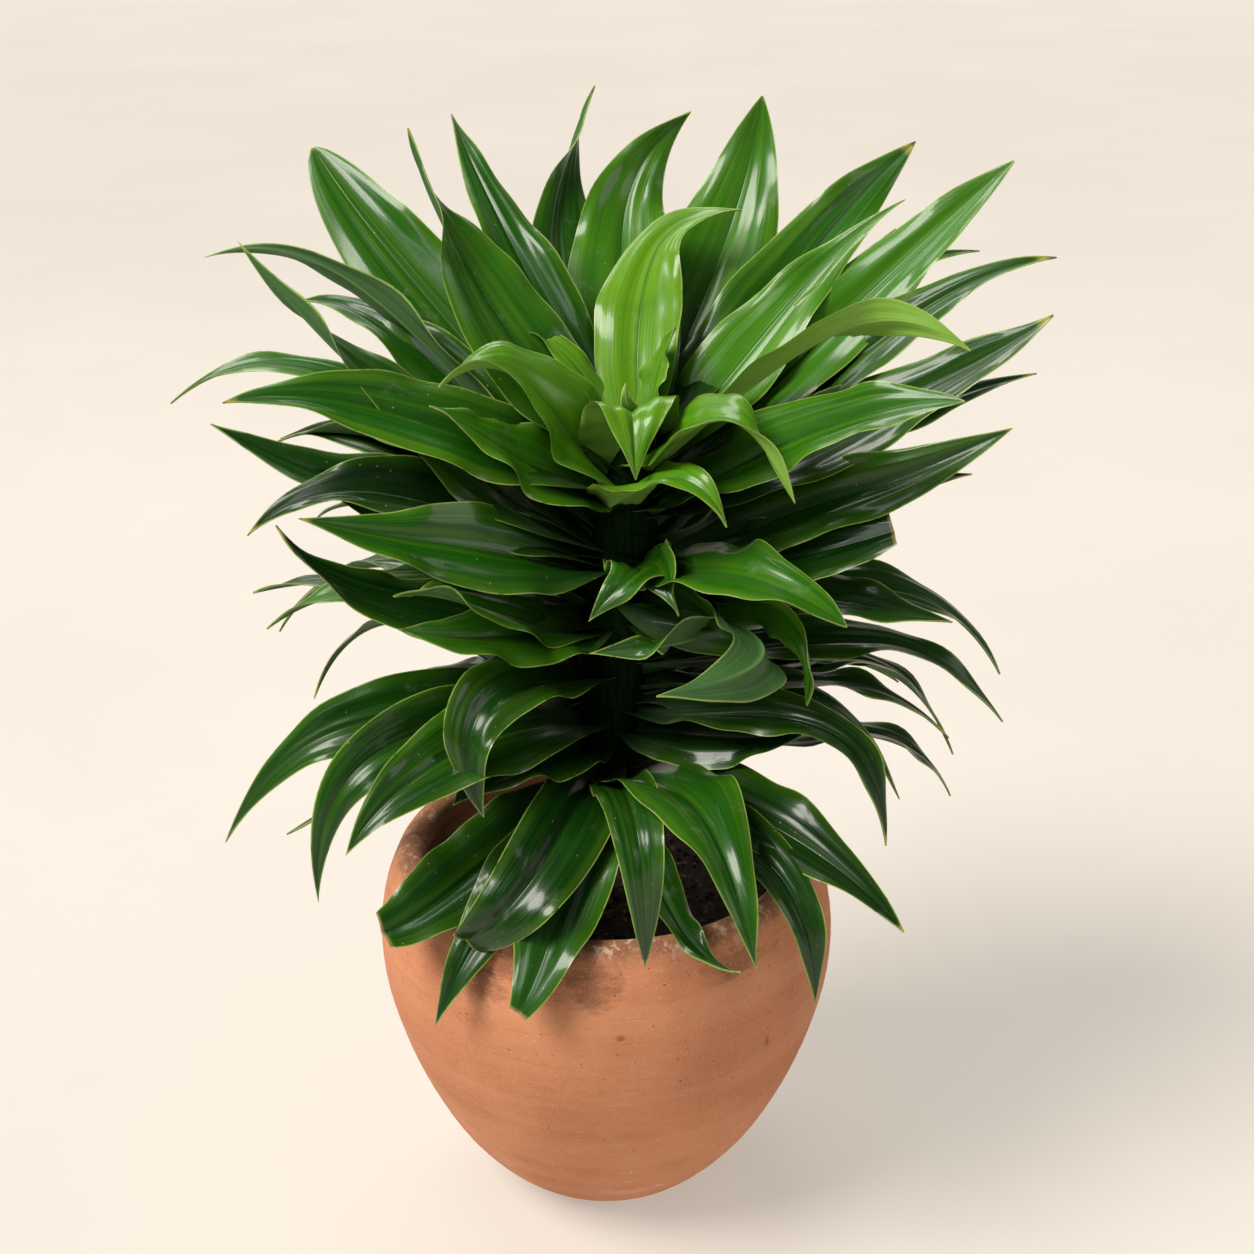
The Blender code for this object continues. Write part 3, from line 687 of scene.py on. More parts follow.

# %% [markdown]
# ## Where every leaf goes
# A leaf is held by three places that can be found in a photograph: its base
# on the stem, its middle and its tip. Each has a compass angle from the front
# and a height, and the last two a reach, the distance from the pot's axis, in
# degrees and millimetres. rise is the climb at the base. Then come width, the
# roll about the leaf's length and the twist towards the tip. The last third
# droops and swings aside by so many millimetres. A taper of 0 is blunt, 1
# plain, more a long thin tail. cut is the share of the length that is left,
# and an age of 0 is young, 2 old and dark. The age also carries painted shade:
# leaves that lie in shade low in the bush are given higher ages, so that they
# come out darker.

# %% The leaf table
Leaf = namedtuple("Leaf", "name turn height rise mid_turn mid_reach "
                  "mid_height tip_turn tip_reach tip_height width roll "
                  "twist droop swing taper cut age")
LEAF_TABLE = """
A -112 325 42 -111 108 436 -110 196 449 24 50 60 14 0 1.3 1 1.3
B -84 325 28 -86 115 426 -95 159 470 42 -40 150 -27 0 1.3 1 1.2
C -118 320 42 -117 105 418 -120 168 424 36 -35 30 10 0 1 1 1.3
D -128 330 52 -128 123 445 -130 181 490 50 -44 0 -4 0 -0.6 1 1.1
E -112 362 50 -112 62 451 -114 93 514 46 -38 120 0 4 1 1 1.05
F -146 362 56 -146 69 450 -148 137 506 34 -15 30 0 2 1 1 1.2
G -165 360 66 -168 106 449 -178 145 514 42 10 120 0 14 1.2 1 1.3
H 174 368 66 176 107 448 162 131 505 54 5 30 14 -14 0.8 1 0.9
I 150 366 60 148 98 442 148 138 514 58 15 0 0 0 0.2 1 0.95
J 128 364 48 128 112 442 126 179 495 42 32 30 14 -4 0.5 1 0.75
K 114 360 42 115 83 426 112 145 479 40 35 0 6 0 1.8 1 0.5
L 106 345 42 107 109 428 106 189 497 40 38 0 0 0 0.2 1 0.8
M 122 340 42 120 150 440 118 200 446 34 20 0 0 0 1 1 1.4
N 100 335 34 99 106 411 96 199 461 33 35 0 10 0 1 1 1.2
O 88 340 30 88 108 391 87 192 444 40 42 0 0 0 0.5 1 1.3
P 105 315 30 104 145 385 102 202 402 30 30 0 0 0 1 1 1.6
Q 78 366 40 79 88 431 74 158 437 36 -12 -140 14 0 0.9 1 0.3
R 64 345 34 65 97 402 65 162 424 37 40 0 0 0 0.3 1 0.9
S 80 320 24 78 98 362 78 177 402 38 42 50 -12 0 0.6 1 1.3
T 72 312 18 71 90 340 73 131 356 42 40 0 0 0 0.3 0.88 2
U 92 315 25 95 120 355 96 168 362 34 30 0 0 0 1 1 2
la -98 325 33 -98 99 399 -96 197 394 26 -20 0 14 0 1.1 1 1
lb -70 352 34 -74 80 400 -76 165 414 42 -45 0 0 0 1 1 0.9
lc -82 322 26 -84 93 361 -88 173 394 40 -42 0 -6 0 1.2 1 2
ld -100 320 30 -100 105 378 -104 155 372 36 -20 0 0 0 1 1 2
le -74 315 40 -78 78 363 -80 159 349 40 -30 -20 8 0 1.2 1 2
lf -92 286 28 -92 94 311 -94 164 306 34 -20 60 14 0 1 1 2
lg -70 292 15 -72 86 313 -76 146 358 40 -30 0 -6 0 1.2 1 2
lh -56 318 25 -58 76 350 -64 142 371 42 -58 0 -10 0 1.2 1 1
li -82 290 18 -82 91 315 -83 154 301 34 -30 60 22 0 1 1 1
lj -50 288 20 -48 73 325 -46 121 345 34 -30 90 10 0 1 1 1
lk -42 290 20 -46 58 307 -50 113 325 38 -38 0 -6 0 1 1 1
ca -60 350 55 -60 38 416 -60 80 421 50 -50 110 14 0 0.8 1 0.4
cb -128 372 60 -128 21 418 -125 56 425 18 0 0 0 0 1 1 0.3
cc -62 350 25 -63 43 383 -68 80 410 40 -40 40 0 0 0.8 1 0.9
cd 170 380 84 160 51 436 138 93 471 42 0 0 10 -16 1.1 1 0.2
ce 30 385 86 30 20 405 30 18 415 12 0 0 0 0 1 1 0.4
cf 115 384 82 110 24 408 112 33 432 24 0 0 0 0 1 1 0.3
cg 20 365 84 33 22 403 18 44 380 48 0 0 14 0 0.9 1 0.35
ch 45 366 42 47 62 407 50 104 379 40 28 -140 22 0 1 1 0.3
ci -60 352 0 30 54 383 38 84 368 32 40 -60 16 0 0.8 1 0.4
cj 20 322 25 22 41 337 -7 57 321 32 0 0 10 0 1 1 1.1
ma 44 318 18 44 87 344 51 131 330 44 12 0 4 0 0.4 1 1
mb 52 305 25 54 96 323 57 105 281 36 120 0 0 0 0.8 1 0.75
mc 70 295 5 42 58 310 -5 76 315 32 30 0 0 0 1.2 1 1.3
md 35 305 30 44 91 319 10 122 316 40 130 40 0 0 0.9 1 1.3
ra 72 312 20 73 90 321 76 158 313 38 24 0 0 0 1 1 1.8
rb 86 300 20 88 116 316 92 185 266 30 15 0 26 0 0.6 1 1.6
rc 78 272 15 83 122 293 84 184 254 30 15 0 24 0 0.9 1 1.7
rd 82 262 12 83 104 271 88 161 239 24 5 0 26 0 1 1 1.7
re 76 252 18 83 121 261 83 139 212 22 10 30 45 0 1.2 1 1.8
rf 55 252 2 60 118 268 60 144 219 28 20 0 6 0 0.9 1 1.8
rg 100 268 10 100 93 272 103 145 250 24 0 0 6 0 1 1 2
rh 62 240 20 62 70 253 66 103 265 38 40 0 0 0 0.8 1 2
wa -76 238 32 -78 135 251 -80 180 197 42 -50 0 30 0 1.3 1 1.5
wx -90 252 24 -92 78 243 -94 139 242 30 -40 0 0 0 1 1 1.8
wb -88 240 20 -88 98 219 -89 154 186 24 0 0 16 0 1 1 1.8
wc -58 236 36 -60 89 264 -60 148 191 36 -62 0 8 0 1.3 1 1.5
wd -45 240 38 -48 100 257 -50 146 227 44 -35 0 0 0 1 1 1.5
we -28 262 40 -42 67 285 -36 90 234 36 -25 0 0 0 0.9 1 1.6
wf -45 228 35 -43 56 246 -46 94 236 44 -20 0 0 0 1 1 2
wg -45 206 40 -48 72 198 -50 130 182 42 -28 0 0 0 0 0.88 1.6
wh -16 216 50 -18 81 217 -35 108 181 39 -30 0 0 0 0.2 0.9 1.9
wi -33 204 15 -33 85 190 -37 126 143 34 -20 0 0 0 1.2 1 1.7
wj -14 212 40 -13 75 200 -18 122 161 44 -5 0 0 0 0.6 0.93 1.5
wk 8 200 56 8 92 246 9.5 107 178 28 10 0 0 0 0.8 1 1.5
wl 22 204 56 24 75 245 24 157 201 48 0 0 0 12 1.3 1 1.2
wm 16 206 25 20 66 196 26 134 186 22 0 0 0 10 1 1 1.6
wn 42 212 34 44 108 232 48 173 202 42 20 0 0 0 0.9 1 1.9
wo 30 199 22 36 123 225 37 151 169 32 10 0 0 0 0.7 1 1.9
V 116 350 45 116 98 422 114 144 465 30 35 0 4 0 1 1 1.6
mf 30 320 30 28 53 339 26 72 327 30 30 60 10 0 1 1 1.2
"""
leaves = [Leaf(row.split()[0], *map(float, row.split()[1:]))
          for row in LEAF_TABLE.strip().splitlines()]
print(len(leaves), "leaves placed from the front")

# %% [markdown]
# The camera sees little of the leaves behind. They follow the plant's own
# rule: each new leaf grows 137.5 degrees further round than the last, which
# keeps it out of the shade of the ones before. Here the turns are folded into
# the arc at the back. Higher leaves are younger and stand steeper.

# %% The leaves round the back
BACK_LEAVES, GOLDEN_ANGLE, BACK_ARC = 26, 137.5, 170
# from the lowest leaf to the highest, and the ranges of the random draws
BACK_BASES, BACK_TIPS, BACK_RISES = (216, 346), (180, 420), (15, 48)
BACK_AGES, BACK_REACH, BACK_WIDTH = (2, 0.8), (150, 185), (36, 44)
MIDDLE_REACH, MIDDLE_CLIMB = 0.58, 0.40


def between(span, share):
    """From the first of span at share 0 to the second at share 1."""
    return span[0] + (span[1] - span[0]) * share


draw = np.random.default_rng(7)
for i in range(BACK_LEAVES):
    turn = 180 - BACK_ARC / 2 + (i * GOLDEN_ANGLE) % BACK_ARC
    up = i / BACK_LEAVES
    low, rise = between(BACK_BASES, up), between(BACK_RISES, up)
    reach = draw.uniform(*BACK_REACH)
    tip = between(BACK_TIPS, up) + draw.uniform(-12, 12)
    mid = low + MIDDLE_CLIMB * reach * math.tan(math.radians(rise))
    leaves.append(Leaf(
        "b%d" % i, turn, low, rise, turn, MIDDLE_REACH * reach, mid,
        turn + draw.uniform(-8, 8), reach, tip, draw.uniform(*BACK_WIDTH),
        draw.uniform(-15, 15), draw.uniform(-30, 30), 12, 0, 1.3, 1,
        between(BACK_AGES, up)))
print(len(leaves), "leaves in all")

# %% [markdown]
# ## The shape of one leaf
# The blade is a surface of two parameters. Along it runs a curve through the
# three places. Across it lies a shallow V with a grooved midrib, which is
# deeper at the base, where the leaf wraps the stem. Slow waves lift the
# edges, less on young leaves, and soft lengthwise folds streak the light.

# %% The curve along a leaf
STEM_FOOT, STEM_TOP, STEM_LEAN = 0.1953, 0.392, 0.016
ROOT_DEPTH = 3 * MM
START_PULL = 0.45
HOOKED, ROLLED = 0.35, 0.4
CURVE_POINTS = 129


def heading(turn):
    """The level direction at turn degrees: 0 is -Y, 90 is +X."""
    turn = math.radians(turn)
    return np.array([math.sin(turn), -math.cos(turn), 0])


def stem_middle(height):
    """The stem's axis leans to +X as the square of the share of its height."""
    share = np.clip((height - STEM_FOOT) / (STEM_TOP - STEM_FOOT), 0, 1)
    return np.stack([STEM_LEAN * share ** 2, 0 * share, height + 0 * share],
                    -1)


def along_leaf(leaf, share):
    """Points and directions at shares of a cubic's length. The cubic starts
    at the rise angle, and passes the middle at its own share of the way. A
    hook that grows as a square over the share HOOKED bends it to the tip."""
    base = stem_middle(leaf.height * MM) + ROOT_DEPTH * heading(leaf.turn)
    middle = leaf.mid_reach * MM * heading(leaf.mid_turn)
    middle[2] = leaf.mid_height * MM
    tip = leaf.tip_reach * MM * heading(leaf.tip_turn)
    tip[2] = leaf.tip_height * MM
    hook = leaf.swing * MM * heading(leaf.tip_turn + 90)
    hook[2] = -leaf.droop * MM
    tip = tip - hook
    near = np.linalg.norm(middle - base)
    t = near / (near + np.linalg.norm(tip - middle))
    rise = math.radians(leaf.rise)
    start = math.cos(rise) * heading(leaf.turn) + [0, 0, math.sin(rise)]
    one = base + START_PULL * near * start
    two = (middle - (1 - t) ** 3 * base - 3 * (1 - t) ** 2 * t * one
           - t ** 3 * tip) / (3 * (1 - t) * t ** 2)
    fine = np.linspace(0, 1, CURVE_POINTS)[:, None]

    def point(s):
        return ((1 - s) ** 3 * base + 3 * (1 - s) ** 2 * s * one
                + 3 * (1 - s) * s ** 2 * two + s ** 3 * tip)

    def slope(s):
        return ((1 - s) ** 2 * (one - base) + 2 * (1 - s) * s * (two - one)
                + s ** 2 * (tip - two))

    run = np.r_[0, np.cumsum(np.linalg.norm(np.diff(point(fine), axis=0),
                                            axis=1))]
    s = np.interp(share * run[-1], run, fine[:, 0])[:, None]
    way = slope(s)
    way *= run[-1] / np.linalg.norm(way, axis=1)[:, None]
    bend = np.clip((share - 1 + HOOKED) / HOOKED, 0, 1)[:, None]
    way += 2 * bend / HOOKED * hook
    return (point(s) + bend ** 2 * hook,
            way / np.linalg.norm(way, axis=1)[:, None])


def leaf_sides(leaf, share, way):
    """The direction across the blade and the one its face looks to. Across
    starts level, turns by the roll up to the share ROLLED, and then by the
    twist, as a square, to the tip."""
    turn = np.radians(leaf.turn + (leaf.tip_turn - leaf.turn) * share)
    across = np.stack([np.cos(turn), np.sin(turn), 0 * turn], -1)
    across -= way * (across * way).sum(1)[:, None]
    across /= np.linalg.norm(across, axis=1)[:, None]
    face = np.cross(way, across)
    turn = np.radians(
        leaf.roll * np.clip(share / ROLLED, 0, 1) + leaf.twist
        * np.clip((share - ROLLED) / (1 - ROLLED), 0, 1) ** 2)[:, None]
    return (across * np.cos(turn) + face * np.sin(turn),
            face * np.cos(turn) - across * np.sin(turn))


# %% The blade's surface
ROWS = 46
HALF_COLUMNS = (0, 0.03, 0.07, 0.13, 0.2, 0.28, 0.37, 0.46, 0.55, 0.64,
                0.73, 0.81, 0.88, 0.94, 1)
WIDEST, BASE_WIDTH = 0.45, 0.55
MIDRIB_THICKNESS, EDGE_THICKNESS = 1.3 * MM, 0.6 * MM
WAVE_HEIGHT, YOUNG_WAVE = 2.6 * MM, 0.3
FOLD_HEIGHT, FULLY_FOLDED = 0.42 * MM, 15 * MM
GROOVE_DEPTH, GROOVE_WIDTH, MIDRIB_WIDTH = 0.30 * MM, 0.9 * MM, 2.5 * MM


def blade_width(share, taper):
    """Share of the full width: BASE_WIDTH at the base, 1 at the share WIDEST
    of the length, then down to a point, the sharper the more it tapers."""
    swell = BASE_WIDTH + (1 - BASE_WIDTH) * np.sin(
        0.25 * TURN * np.clip(share / WIDEST, 0, 1))
    after = np.clip((share - WIDEST) / (1 - WIDEST), 0, 1)
    fall = (1 - after ** (1.9 - 0.4 * taper)) ** (0.8 + 0.3 * taper)
    return np.where(share < WIDEST, swell, fall)


def blade_sheets(leaf, number, draw):
    """The upper and the lower sheet, rows along and columns across. A point
    rises off the curve by a V with a round bottom, a bow of each half, the
    waves of the edges and the folds, less the midrib's groove."""
    share = np.linspace(0, 0.997, ROWS) ** 0.92
    half_columns = np.array(HALF_COLUMNS)
    column = np.r_[-half_columns[:0:-1], half_columns][None]
    point, way = along_leaf(leaf, share)
    across, face = leaf_sides(leaf, share, way)
    half = 0.5 * leaf.width * MM * blade_width(
        share * leaf.cut, leaf.taper)[:, None]
    s = share[:, None]
    keel = 0.22 + 0.5 * np.exp(-(s / 0.14) ** 2)
    span, lift = half * np.cos(keel), half * np.sin(keel)
    ends = np.clip(4 * s, 0, 1) * np.clip(4 * (1 - s), 0, 1)
    phase = 2.4 * number
    left = np.sin(TURN * 2.6 * s + phase) \
        + 0.35 * np.sin(TURN * 6.3 * s + 3 * phase)
    right = np.sin(TURN * 3.1 * s + phase + 2) \
        + 0.35 * np.sin(TURN * 5.4 * s + 2 * phase)
    wave = WAVE_HEIGHT * min(1, YOUNG_WAVE + leaf.age) * ends \
        * np.where(column < 0, left, right) * column ** 2
    bow = 0.10 * half * (np.abs(column) - column ** 2) * 4
    a, b, c = draw.uniform(0, TURN, 3)
    folds = 0.9 * np.sin(8 * column + a + 1.5 * s) \
        + 0.8 * np.sin(14 * column + b - 2 * s) \
        + 0.6 * np.sin(4 * column + c + 6 * s)
    folds = folds * FOLD_HEIGHT * ends * (1 - column ** 4) \
        * np.clip(half / FULLY_FOLDED, 0, 1)
    groove = GROOVE_DEPTH * np.exp(-(column * half / GROOVE_WIDTH) ** 2) \
        * np.clip((1 - s) * 3, 0, 1)
    valley = np.sqrt(column ** 2 + 0.02) - 0.1414
    rise = valley * lift * 1.15 + bow + wave + folds - groove
    upper = point[:, None] + across[:, None] * (column * span)[..., None] \
        + face[:, None] * rise[..., None]
    thick = EDGE_THICKNESS + (MIDRIB_THICKNESS - EDGE_THICKNESS) \
        * np.exp(-(column * half / MIDRIB_WIDTH) ** 2) * (1 - 0.6 * s)
    thick = thick * (np.abs(column) < 1)
    lower = upper - face[:, None] * thick[..., None]
    return upper, lower, share, half, column[0]


# %% [markdown]
# The two sheets share their edge points, so each row of points is a closed
# ring: over the face from left to right, and back underneath. All leaves
# have the same rows and rings, so the faces are worked out once, and copied
# with a shift for each leaf. The edge stays sharp: a leaf is thin there.

# %% The faces of a ring of points, closed at both ends
COLUMNS = 2 * len(HALF_COLUMNS) - 1
RING = 2 * COLUMNS - 2


def blade_faces():
    """Cells round the rings. At each end the face and the underside are
    joined by a strip of cells, with a triangle at either edge. Also which
    of the cells lie underneath."""
    sides = grid_faces(ROWS, RING, around=True)
    k = np.arange(1, COLUMNS - 2)
    strip = np.stack([k, k + 1, RING - k - 1, RING - k], -1)
    corner = np.array([[0, 1, RING - 1],
                       [COLUMNS - 2, COLUMNS - 1, COLUMNS]])
    last = (ROWS - 1) * RING
    under = np.tile(np.arange(RING) >= COLUMNS - 1, ROWS - 1)
    return (np.r_[sides, strip, strip[:, ::-1] + last],
            np.r_[corner, corner[:, ::-1] + last], under)


def put(mesh, name, values, domain="POINT"):
    """values as a float attribute of the mesh's points or faces."""
    layer = mesh.attributes.new(name, "FLOAT", domain)
    layer.data.foreach_set("value", np.ravel(values).astype(np.float32))


def numbers(owner, what, width):
    """One property of every item of a mesh's collection, as rows."""
    values = np.empty(len(owner) * width, np.int32)
    owner.foreach_get(what, values)
    return values.reshape(-1, width)


def mark_sharp(mesh, across, row):
    """The edges along a blade's rim and round its two ends are sharp."""
    ends = numbers(mesh.edges, "vertices", 2)
    at_edge = np.abs(across - 0.5) > 0.4999
    at_end = (row == 0) | (row == ROWS - 1)
    sharp = at_edge[ends].all(1) | at_end[ends].all(1)
    layer = mesh.attributes.new("sharp_edge", "BOOLEAN", "EDGE")
    layer.data.foreach_set("value", sharp)


def leaf_piece(name, chosen):
    """One mesh of the chosen (number, leaf) pairs. The UV map says how far
    across and along; the attributes say the rest that a finish reads."""
    rings, halves = [], []
    for number, leaf in chosen:
        draw = np.random.default_rng(1000 + number)
        upper, lower, share, half, column = blade_sheets(leaf, number, draw)
        rings.append(np.concatenate([upper, lower[:, -2:0:-1]], 1))
        halves.append(np.broadcast_to(half / MM, (ROWS, RING)))
    quads, corners, under = blade_faces()
    count = len(chosen)
    piece = new_piece(name, np.stack(rings),
                      *many(ROWS * RING, (quads, corners), count))
    mesh = piece.data
    ring_u = np.r_[column, column[-2:0:-1]] / 2 + 0.5
    across = np.tile(ring_u, ROWS * count)
    along = np.tile(np.repeat(share, RING), count)
    corner_of = numbers(mesh.loops, "vertex_index", 1)[:, 0]
    uv = mesh.uv_layers.new(name="leaf_map")
    uv.data.foreach_set("uv", np.stack([across, along], -1)[corner_of]
                        .astype(np.float32).ravel())
    mark_sharp(mesh, across, np.tile(np.repeat(np.arange(ROWS), RING), count))
    flags = np.zeros(len(mesh.polygons))
    cells = flags[:count * len(quads)].reshape(count, -1)
    cells[:, :len(under)] = under
    put(mesh, "underside", flags, "FACE")
    put(mesh, "half_width", halves)
    chances = np.random.default_rng(5).uniform(size=200)
    for label, values in (("age", [leaf.age / 2 for _, leaf in chosen]),
                          ("chance", [chances[n] for n, _ in chosen]),
                          ("trimmed", [leaf.cut < 1 for _, leaf in chosen])):
        put(mesh, label, np.repeat(values, ROWS * RING))
    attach(piece, "root")
    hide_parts("leafy_stem")
    return piece


# %% [markdown]
# The leaves are made in whorls, by where they stand, so that each piece can
# be looked at alone: the crown, the young heart, the two flanks, the middle,
# the skirt that hangs over the pot, and the back. The first letter of a
# leaf's name tells which, and a capital is the crown's.

# %% The whorls
WHORLS = {"c": "heart_leaves", "l": "left_leaves", "m": "middle_leaves",
          "r": "right_leaves", "w": "skirt_leaves", "b": "back_leaves"}
whorls = {}
for number, leaf in enumerate(leaves):
    home = WHORLS.get(leaf.name[0], "crown_leaves")
    whorls.setdefault(home, []).append((number, leaf))
leaf_pieces = [leaf_piece(name, chosen) for name, chosen in whorls.items()]
print({name: len(chosen) for name, chosen in whorls.items()})

# %% [markdown]
# ## Leaf finish
# One finish serves every leaf. The UV map tells it how far across and along
# a point lies, and the attributes how old and how wide its leaf is, which
# side it is on, and one random number for each leaf, so that no two match.

# %% What the finish reads
waxy = Finish("leaf_green", Specular_IOR_Level=0.2, Coat_Roughness=0.15,
              Coat_IOR=1.4, Subsurface_Weight=0.06,
              Subsurface_Radius=(0.35, 0.9, 0.12), Subsurface_Scale=1.2 * MM)
uv = waxy.node("ShaderNodeUVMap", {"uv_map": "leaf_map"})
u, v = waxy.part(uv, 0), waxy.part(uv, 1)
# the age also carries painted shade: leaves in shade were given higher ages
age, chance, under, half, trimmed = map(waxy.attribute, (
    "age", "chance", "underside", "half_width", "trimmed"))
side = abs(u - 0.5) * 2
at = waxy.place()
ridges = waxy.noise(waxy.join(u * 11, v * 0.8, chance * 60), 1.0, 2, 0.5)
veins = waxy.noise(waxy.join(u * 34, v * 0.9, chance * 40), 1.0, 3, 0.6)
fine_veins = waxy.noise(waxy.join(u * 120, v * 1.6, chance * 70), 1.0, 2)
spread = waxy.noise(waxy.join(u * 3, v * 4, chance * 90), 1.0, 3)
cloud = waxy.noise(at, 28, 4, 0.6)
print("signals:", len(waxy.tree.nodes), "nodes")

# %% [markdown]
# The face is bright and yellowish on a young leaf, and deep green on an old
# one; the darkest greens are partly painted shade. Ridges and fine veins streak
# it, the margins are lighter, and the midrib is darker. The margins' light is
# partly their own paler green and partly a painted glow of light shining
# through the thin edge. The base is pale on a young leaf, and on an old one it
# is painted nearly black: painted shade deep in the bush, near the stem.

# %% The green of the face
# the dark end of this ramp is partly painted shade, for leaves lying in shade
AGE_AND_SHADE_GREENS = ((0.0, (0.125, 0.295, 0.004)), (0.25, (0.052, 0.205, 0.005)),
              (0.50, (0.009, 0.088, 0.002)), (0.75, (0.003, 0.042, 0.001)),
              (1.0, (0.001, 0.018, 0.001)))
VEIN_PALE, VEIN_DARK = (0.060, 0.190, 0.010), (0.008, 0.045, 0.006)
# the margin colour is partly the leaf's own paler edge, partly a painted glow
# of light through it
RIDGE_PALE, MARGIN_AND_GLOW = (0.180, 0.330, 0.010), (0.090, 0.220, 0.006)
CLOUDED, RIB_DARK = (0.015, 0.08, 0.01), (0.010, 0.050, 0.006)
# painted shade: an old leaf goes nearly black at its base, near the stem
BASE_YOUNG, OLD_BASE_SHADE = (0.20, 0.32, 0.06), (0.002, 0.012, 0.001)
rib_mm = side * half
rib = rib_mm.rise(1.2, 0.3) * v.rise(0.95, 0.6)
colour = waxy.ramp(age + (chance - 0.5) * 0.22 + (spread - 0.5) * 0.25,
                   *AGE_AND_SHADE_GREENS)
colour = waxy.layers(
    colour, (veins.rise(0.35, 0.65) * (0.3 - 0.2 * age), VEIN_PALE),
    (ridges.rise(0.45, 0.7) * (0.34 - 0.32 * age), RIDGE_PALE),
    # lighter margins: partly own colour, partly painted glow of light through
    # the edge
    (side.rise(0.55, 1.0) * (0.5 - 0.3 * age), MARGIN_AND_GLOW),
    (fine_veins.rise(0.5, 0.7) * 0.22, VEIN_DARK),
    (cloud.rise(0.5, 0.75) * 0.25, CLOUDED), (rib * 0.35, RIB_DARK),
    (v.rise(0.20, 0.0) * age.rise(0.4, 0.1), BASE_YOUNG),
    # painted shade at the base of old leaves, deep in the bush
    (v.rise(0.55, 0.05) * age.rise(0.2, 0.5) * 0.85, OLD_BASE_SHADE))
print("face:", len(waxy.tree.nodes), "nodes")

# %% [markdown]
# The underside is greyer, and on a young leaf yellowish: a painted glow of the
# light that shines through a thin young blade. A thin, uneven pale line runs
# round the edge. Tips dry to straw and then brown, on some leaves more than on
# others, and a snipped end is brown.

# %% Underside, edge and tips
UNDER_DARK, UNDER_PALE = (0.035, 0.100, 0.024), (0.070, 0.165, 0.048)
# the young underside's yellow is a painted glow of light shining through it
UNDER_YOUNG_GLOW, UNDER_RIB = (0.22, 0.42, 0.05), (0.16, 0.28, 0.08)
RIM, STRAW = (0.30, 0.42, 0.09), (0.46, 0.44, 0.09)
BROWN, SNIPPED = (0.17, 0.085, 0.03), (0.30, 0.20, 0.08)
below = waxy.layers(UNDER_DARK, (veins.rise(0.35, 0.65) * 0.5, UNDER_PALE),
                    # painted glow of light through a young leaf
                    (age.rise(0.55, 0.0), UNDER_YOUNG_GLOW),
                    (rib * 0.6, UNDER_RIB))
edge_mm = (1 - side) * half
edge_noise = waxy.noise(waxy.join(v * 30, chance * 20, 0), 1.0, 3)
rim = edge_mm.rise(0.75, 0.25) * edge_noise.rise(0.25, 0.5) \
    * v.rise(0.15, 0.35)
ragged = (edge_noise - 0.5) * 0.02
dry_from = 1.01 - 0.035 * chance.rise(0.6, 1.0) + ragged
straw = (v - dry_from).rise(-0.028, 0.0)
brown = (v - dry_from).rise(0.0, 0.014)
snipped = trimmed * (v + ragged).rise(0.984, 0.992)
colour = waxy.layers(colour, (under, below), (rim * 0.75, RIM),
                     (straw * 0.75, STRAW), (brown * 0.85, BROWN),
                     (snipped * 0.8, SNIPPED))
print("with its edge:", len(waxy.tree.nodes), "nodes")

# %% [markdown]
# A waxy coat gives the gloss. It is uneven along the veins, and thin on the
# underside, on brown tips and near the base. Small pale specks and dull water
# marks are scattered over it.

# %% Specks, gloss and relief
SPECK, WATER_MARK = (0.42, 0.50, 0.22), (0.45, 0.50, 0.36)
LEAF_RELIEF = 0.16 * MM
speck_cells = waxy.cells(waxy.join(u * half * 0.30, v * 32, chance * 50), 1.0)
speck = speck_cells.rise(0.075, 0.035) * cloud.rise(0.44, 0.56)
marks = waxy.noise(at, 60, 5, 0.7).rise(0.60, 0.74)
colour = waxy.layers(colour, (speck * 0.55, SPECK), (marks * 0.10, WATER_MARK))
rough = 0.31 + 0.16 * (veins - 0.5) + 0.16 * marks + 0.25 * under \
    + 0.4 * v.rise(0.4, 0.05) + 0.3 * brown + 0.15 * speck
gloss = (0.6 - 0.52 * under - 0.4 * brown) * (0.5 + 0.8 * veins) \
    * v.rise(0.08, 0.5)
relief = ridges * 2.2 + veins * 1.6 + fine_veins * 0.3 + cloud * 0.2
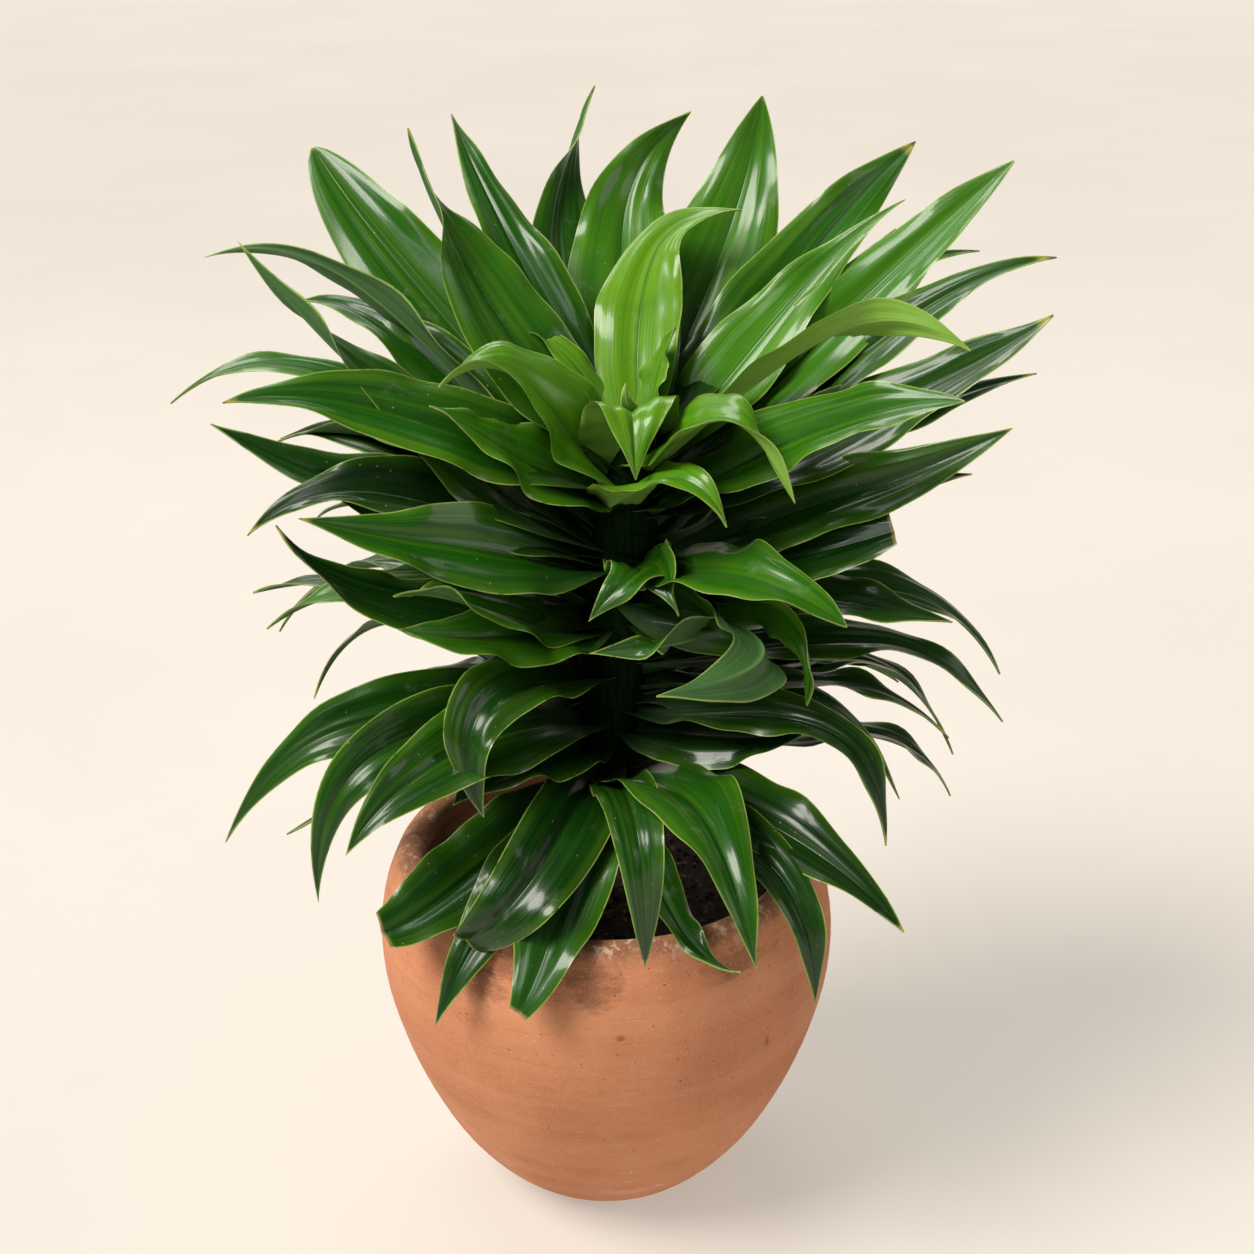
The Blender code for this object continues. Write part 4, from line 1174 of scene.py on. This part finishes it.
waxy.feed(Base_Color=colour, Roughness=rough, Coat_Weight=gloss,
          Normal=waxy.bump(relief, LEAF_RELIEF, 0.8))
waxy.cover(*leaf_pieces)

# %% [markdown]
# ## Green stem
# Between the leaves the stem is wrapped in their bases, one over another, so
# it looks like a green cane with slanting ridges. It leans a little as it
# grows, so every ring of the turned shape is moved to the stem's own middle.

# %% The green stem
STEM_RADII = (0.0128, 0.0148, 0.0158, 0.0148, 0.0088)
STEM_ROWS, STEM_STEPS = 150, 64
SHEATH_PITCH, SHEATH_STEP = 0.011, 0.9 * MM
stem_height = np.linspace(STEM_FOOT, STEM_TOP, STEM_ROWS)
stem_radius = np.interp(
    stem_height, np.linspace(STEM_FOOT, STEM_TOP, len(STEM_RADII)), STEM_RADII)


def sheath_wobble(height, angle):
    """Slanting steps where one leaf base ends over the next."""
    way = height / SHEATH_PITCH + angle / TURN * 2
    return -SHEATH_STEP * (way % 1) ** 2


stem_grid = turned_grid(np.stack([stem_radius, stem_height], 1), STEM_STEPS,
                        sheath_wobble)
stem_grid += (stem_middle(stem_height) * [1, 1, 0])[:, None]
stem_ends = stem_middle(np.array([STEM_FOOT, STEM_TOP]))
stem = new_piece("green_stem", np.r_[stem_grid.reshape(-1, 3), stem_ends],
                 *turned_faces(STEM_ROWS, STEM_STEPS))
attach(stem, "root")
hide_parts("leafy_stem")

# %% [markdown]
# Deep among the leaves the stem gets hardly any light, and its colour is
# painted shade: dull and nearly black, with fine lines up it.

# %% The stem's finish
# both colours are painted shade: the green stem made nearly black
STEM_SHADE_DARK, STEM_SHADE_PALE = (0.002, 0.008, 0.001), (0.005, 0.016, 0.003)
sheath = Finish("stem_green", Roughness=0.7, Specular_IOR_Level=0.05)
at = sheath.place()
lines = sheath.noise(sheath.stretch(at, (8, 8, 1)), 60, 3)
colour = sheath.mix(lines.rise(0.35, 0.65), STEM_SHADE_DARK, STEM_SHADE_PALE)
sheath.feed(Base_Color=colour, Normal=sheath.bump(lines, 0.3 * MM, 0.7))
sheath.cover(stem)
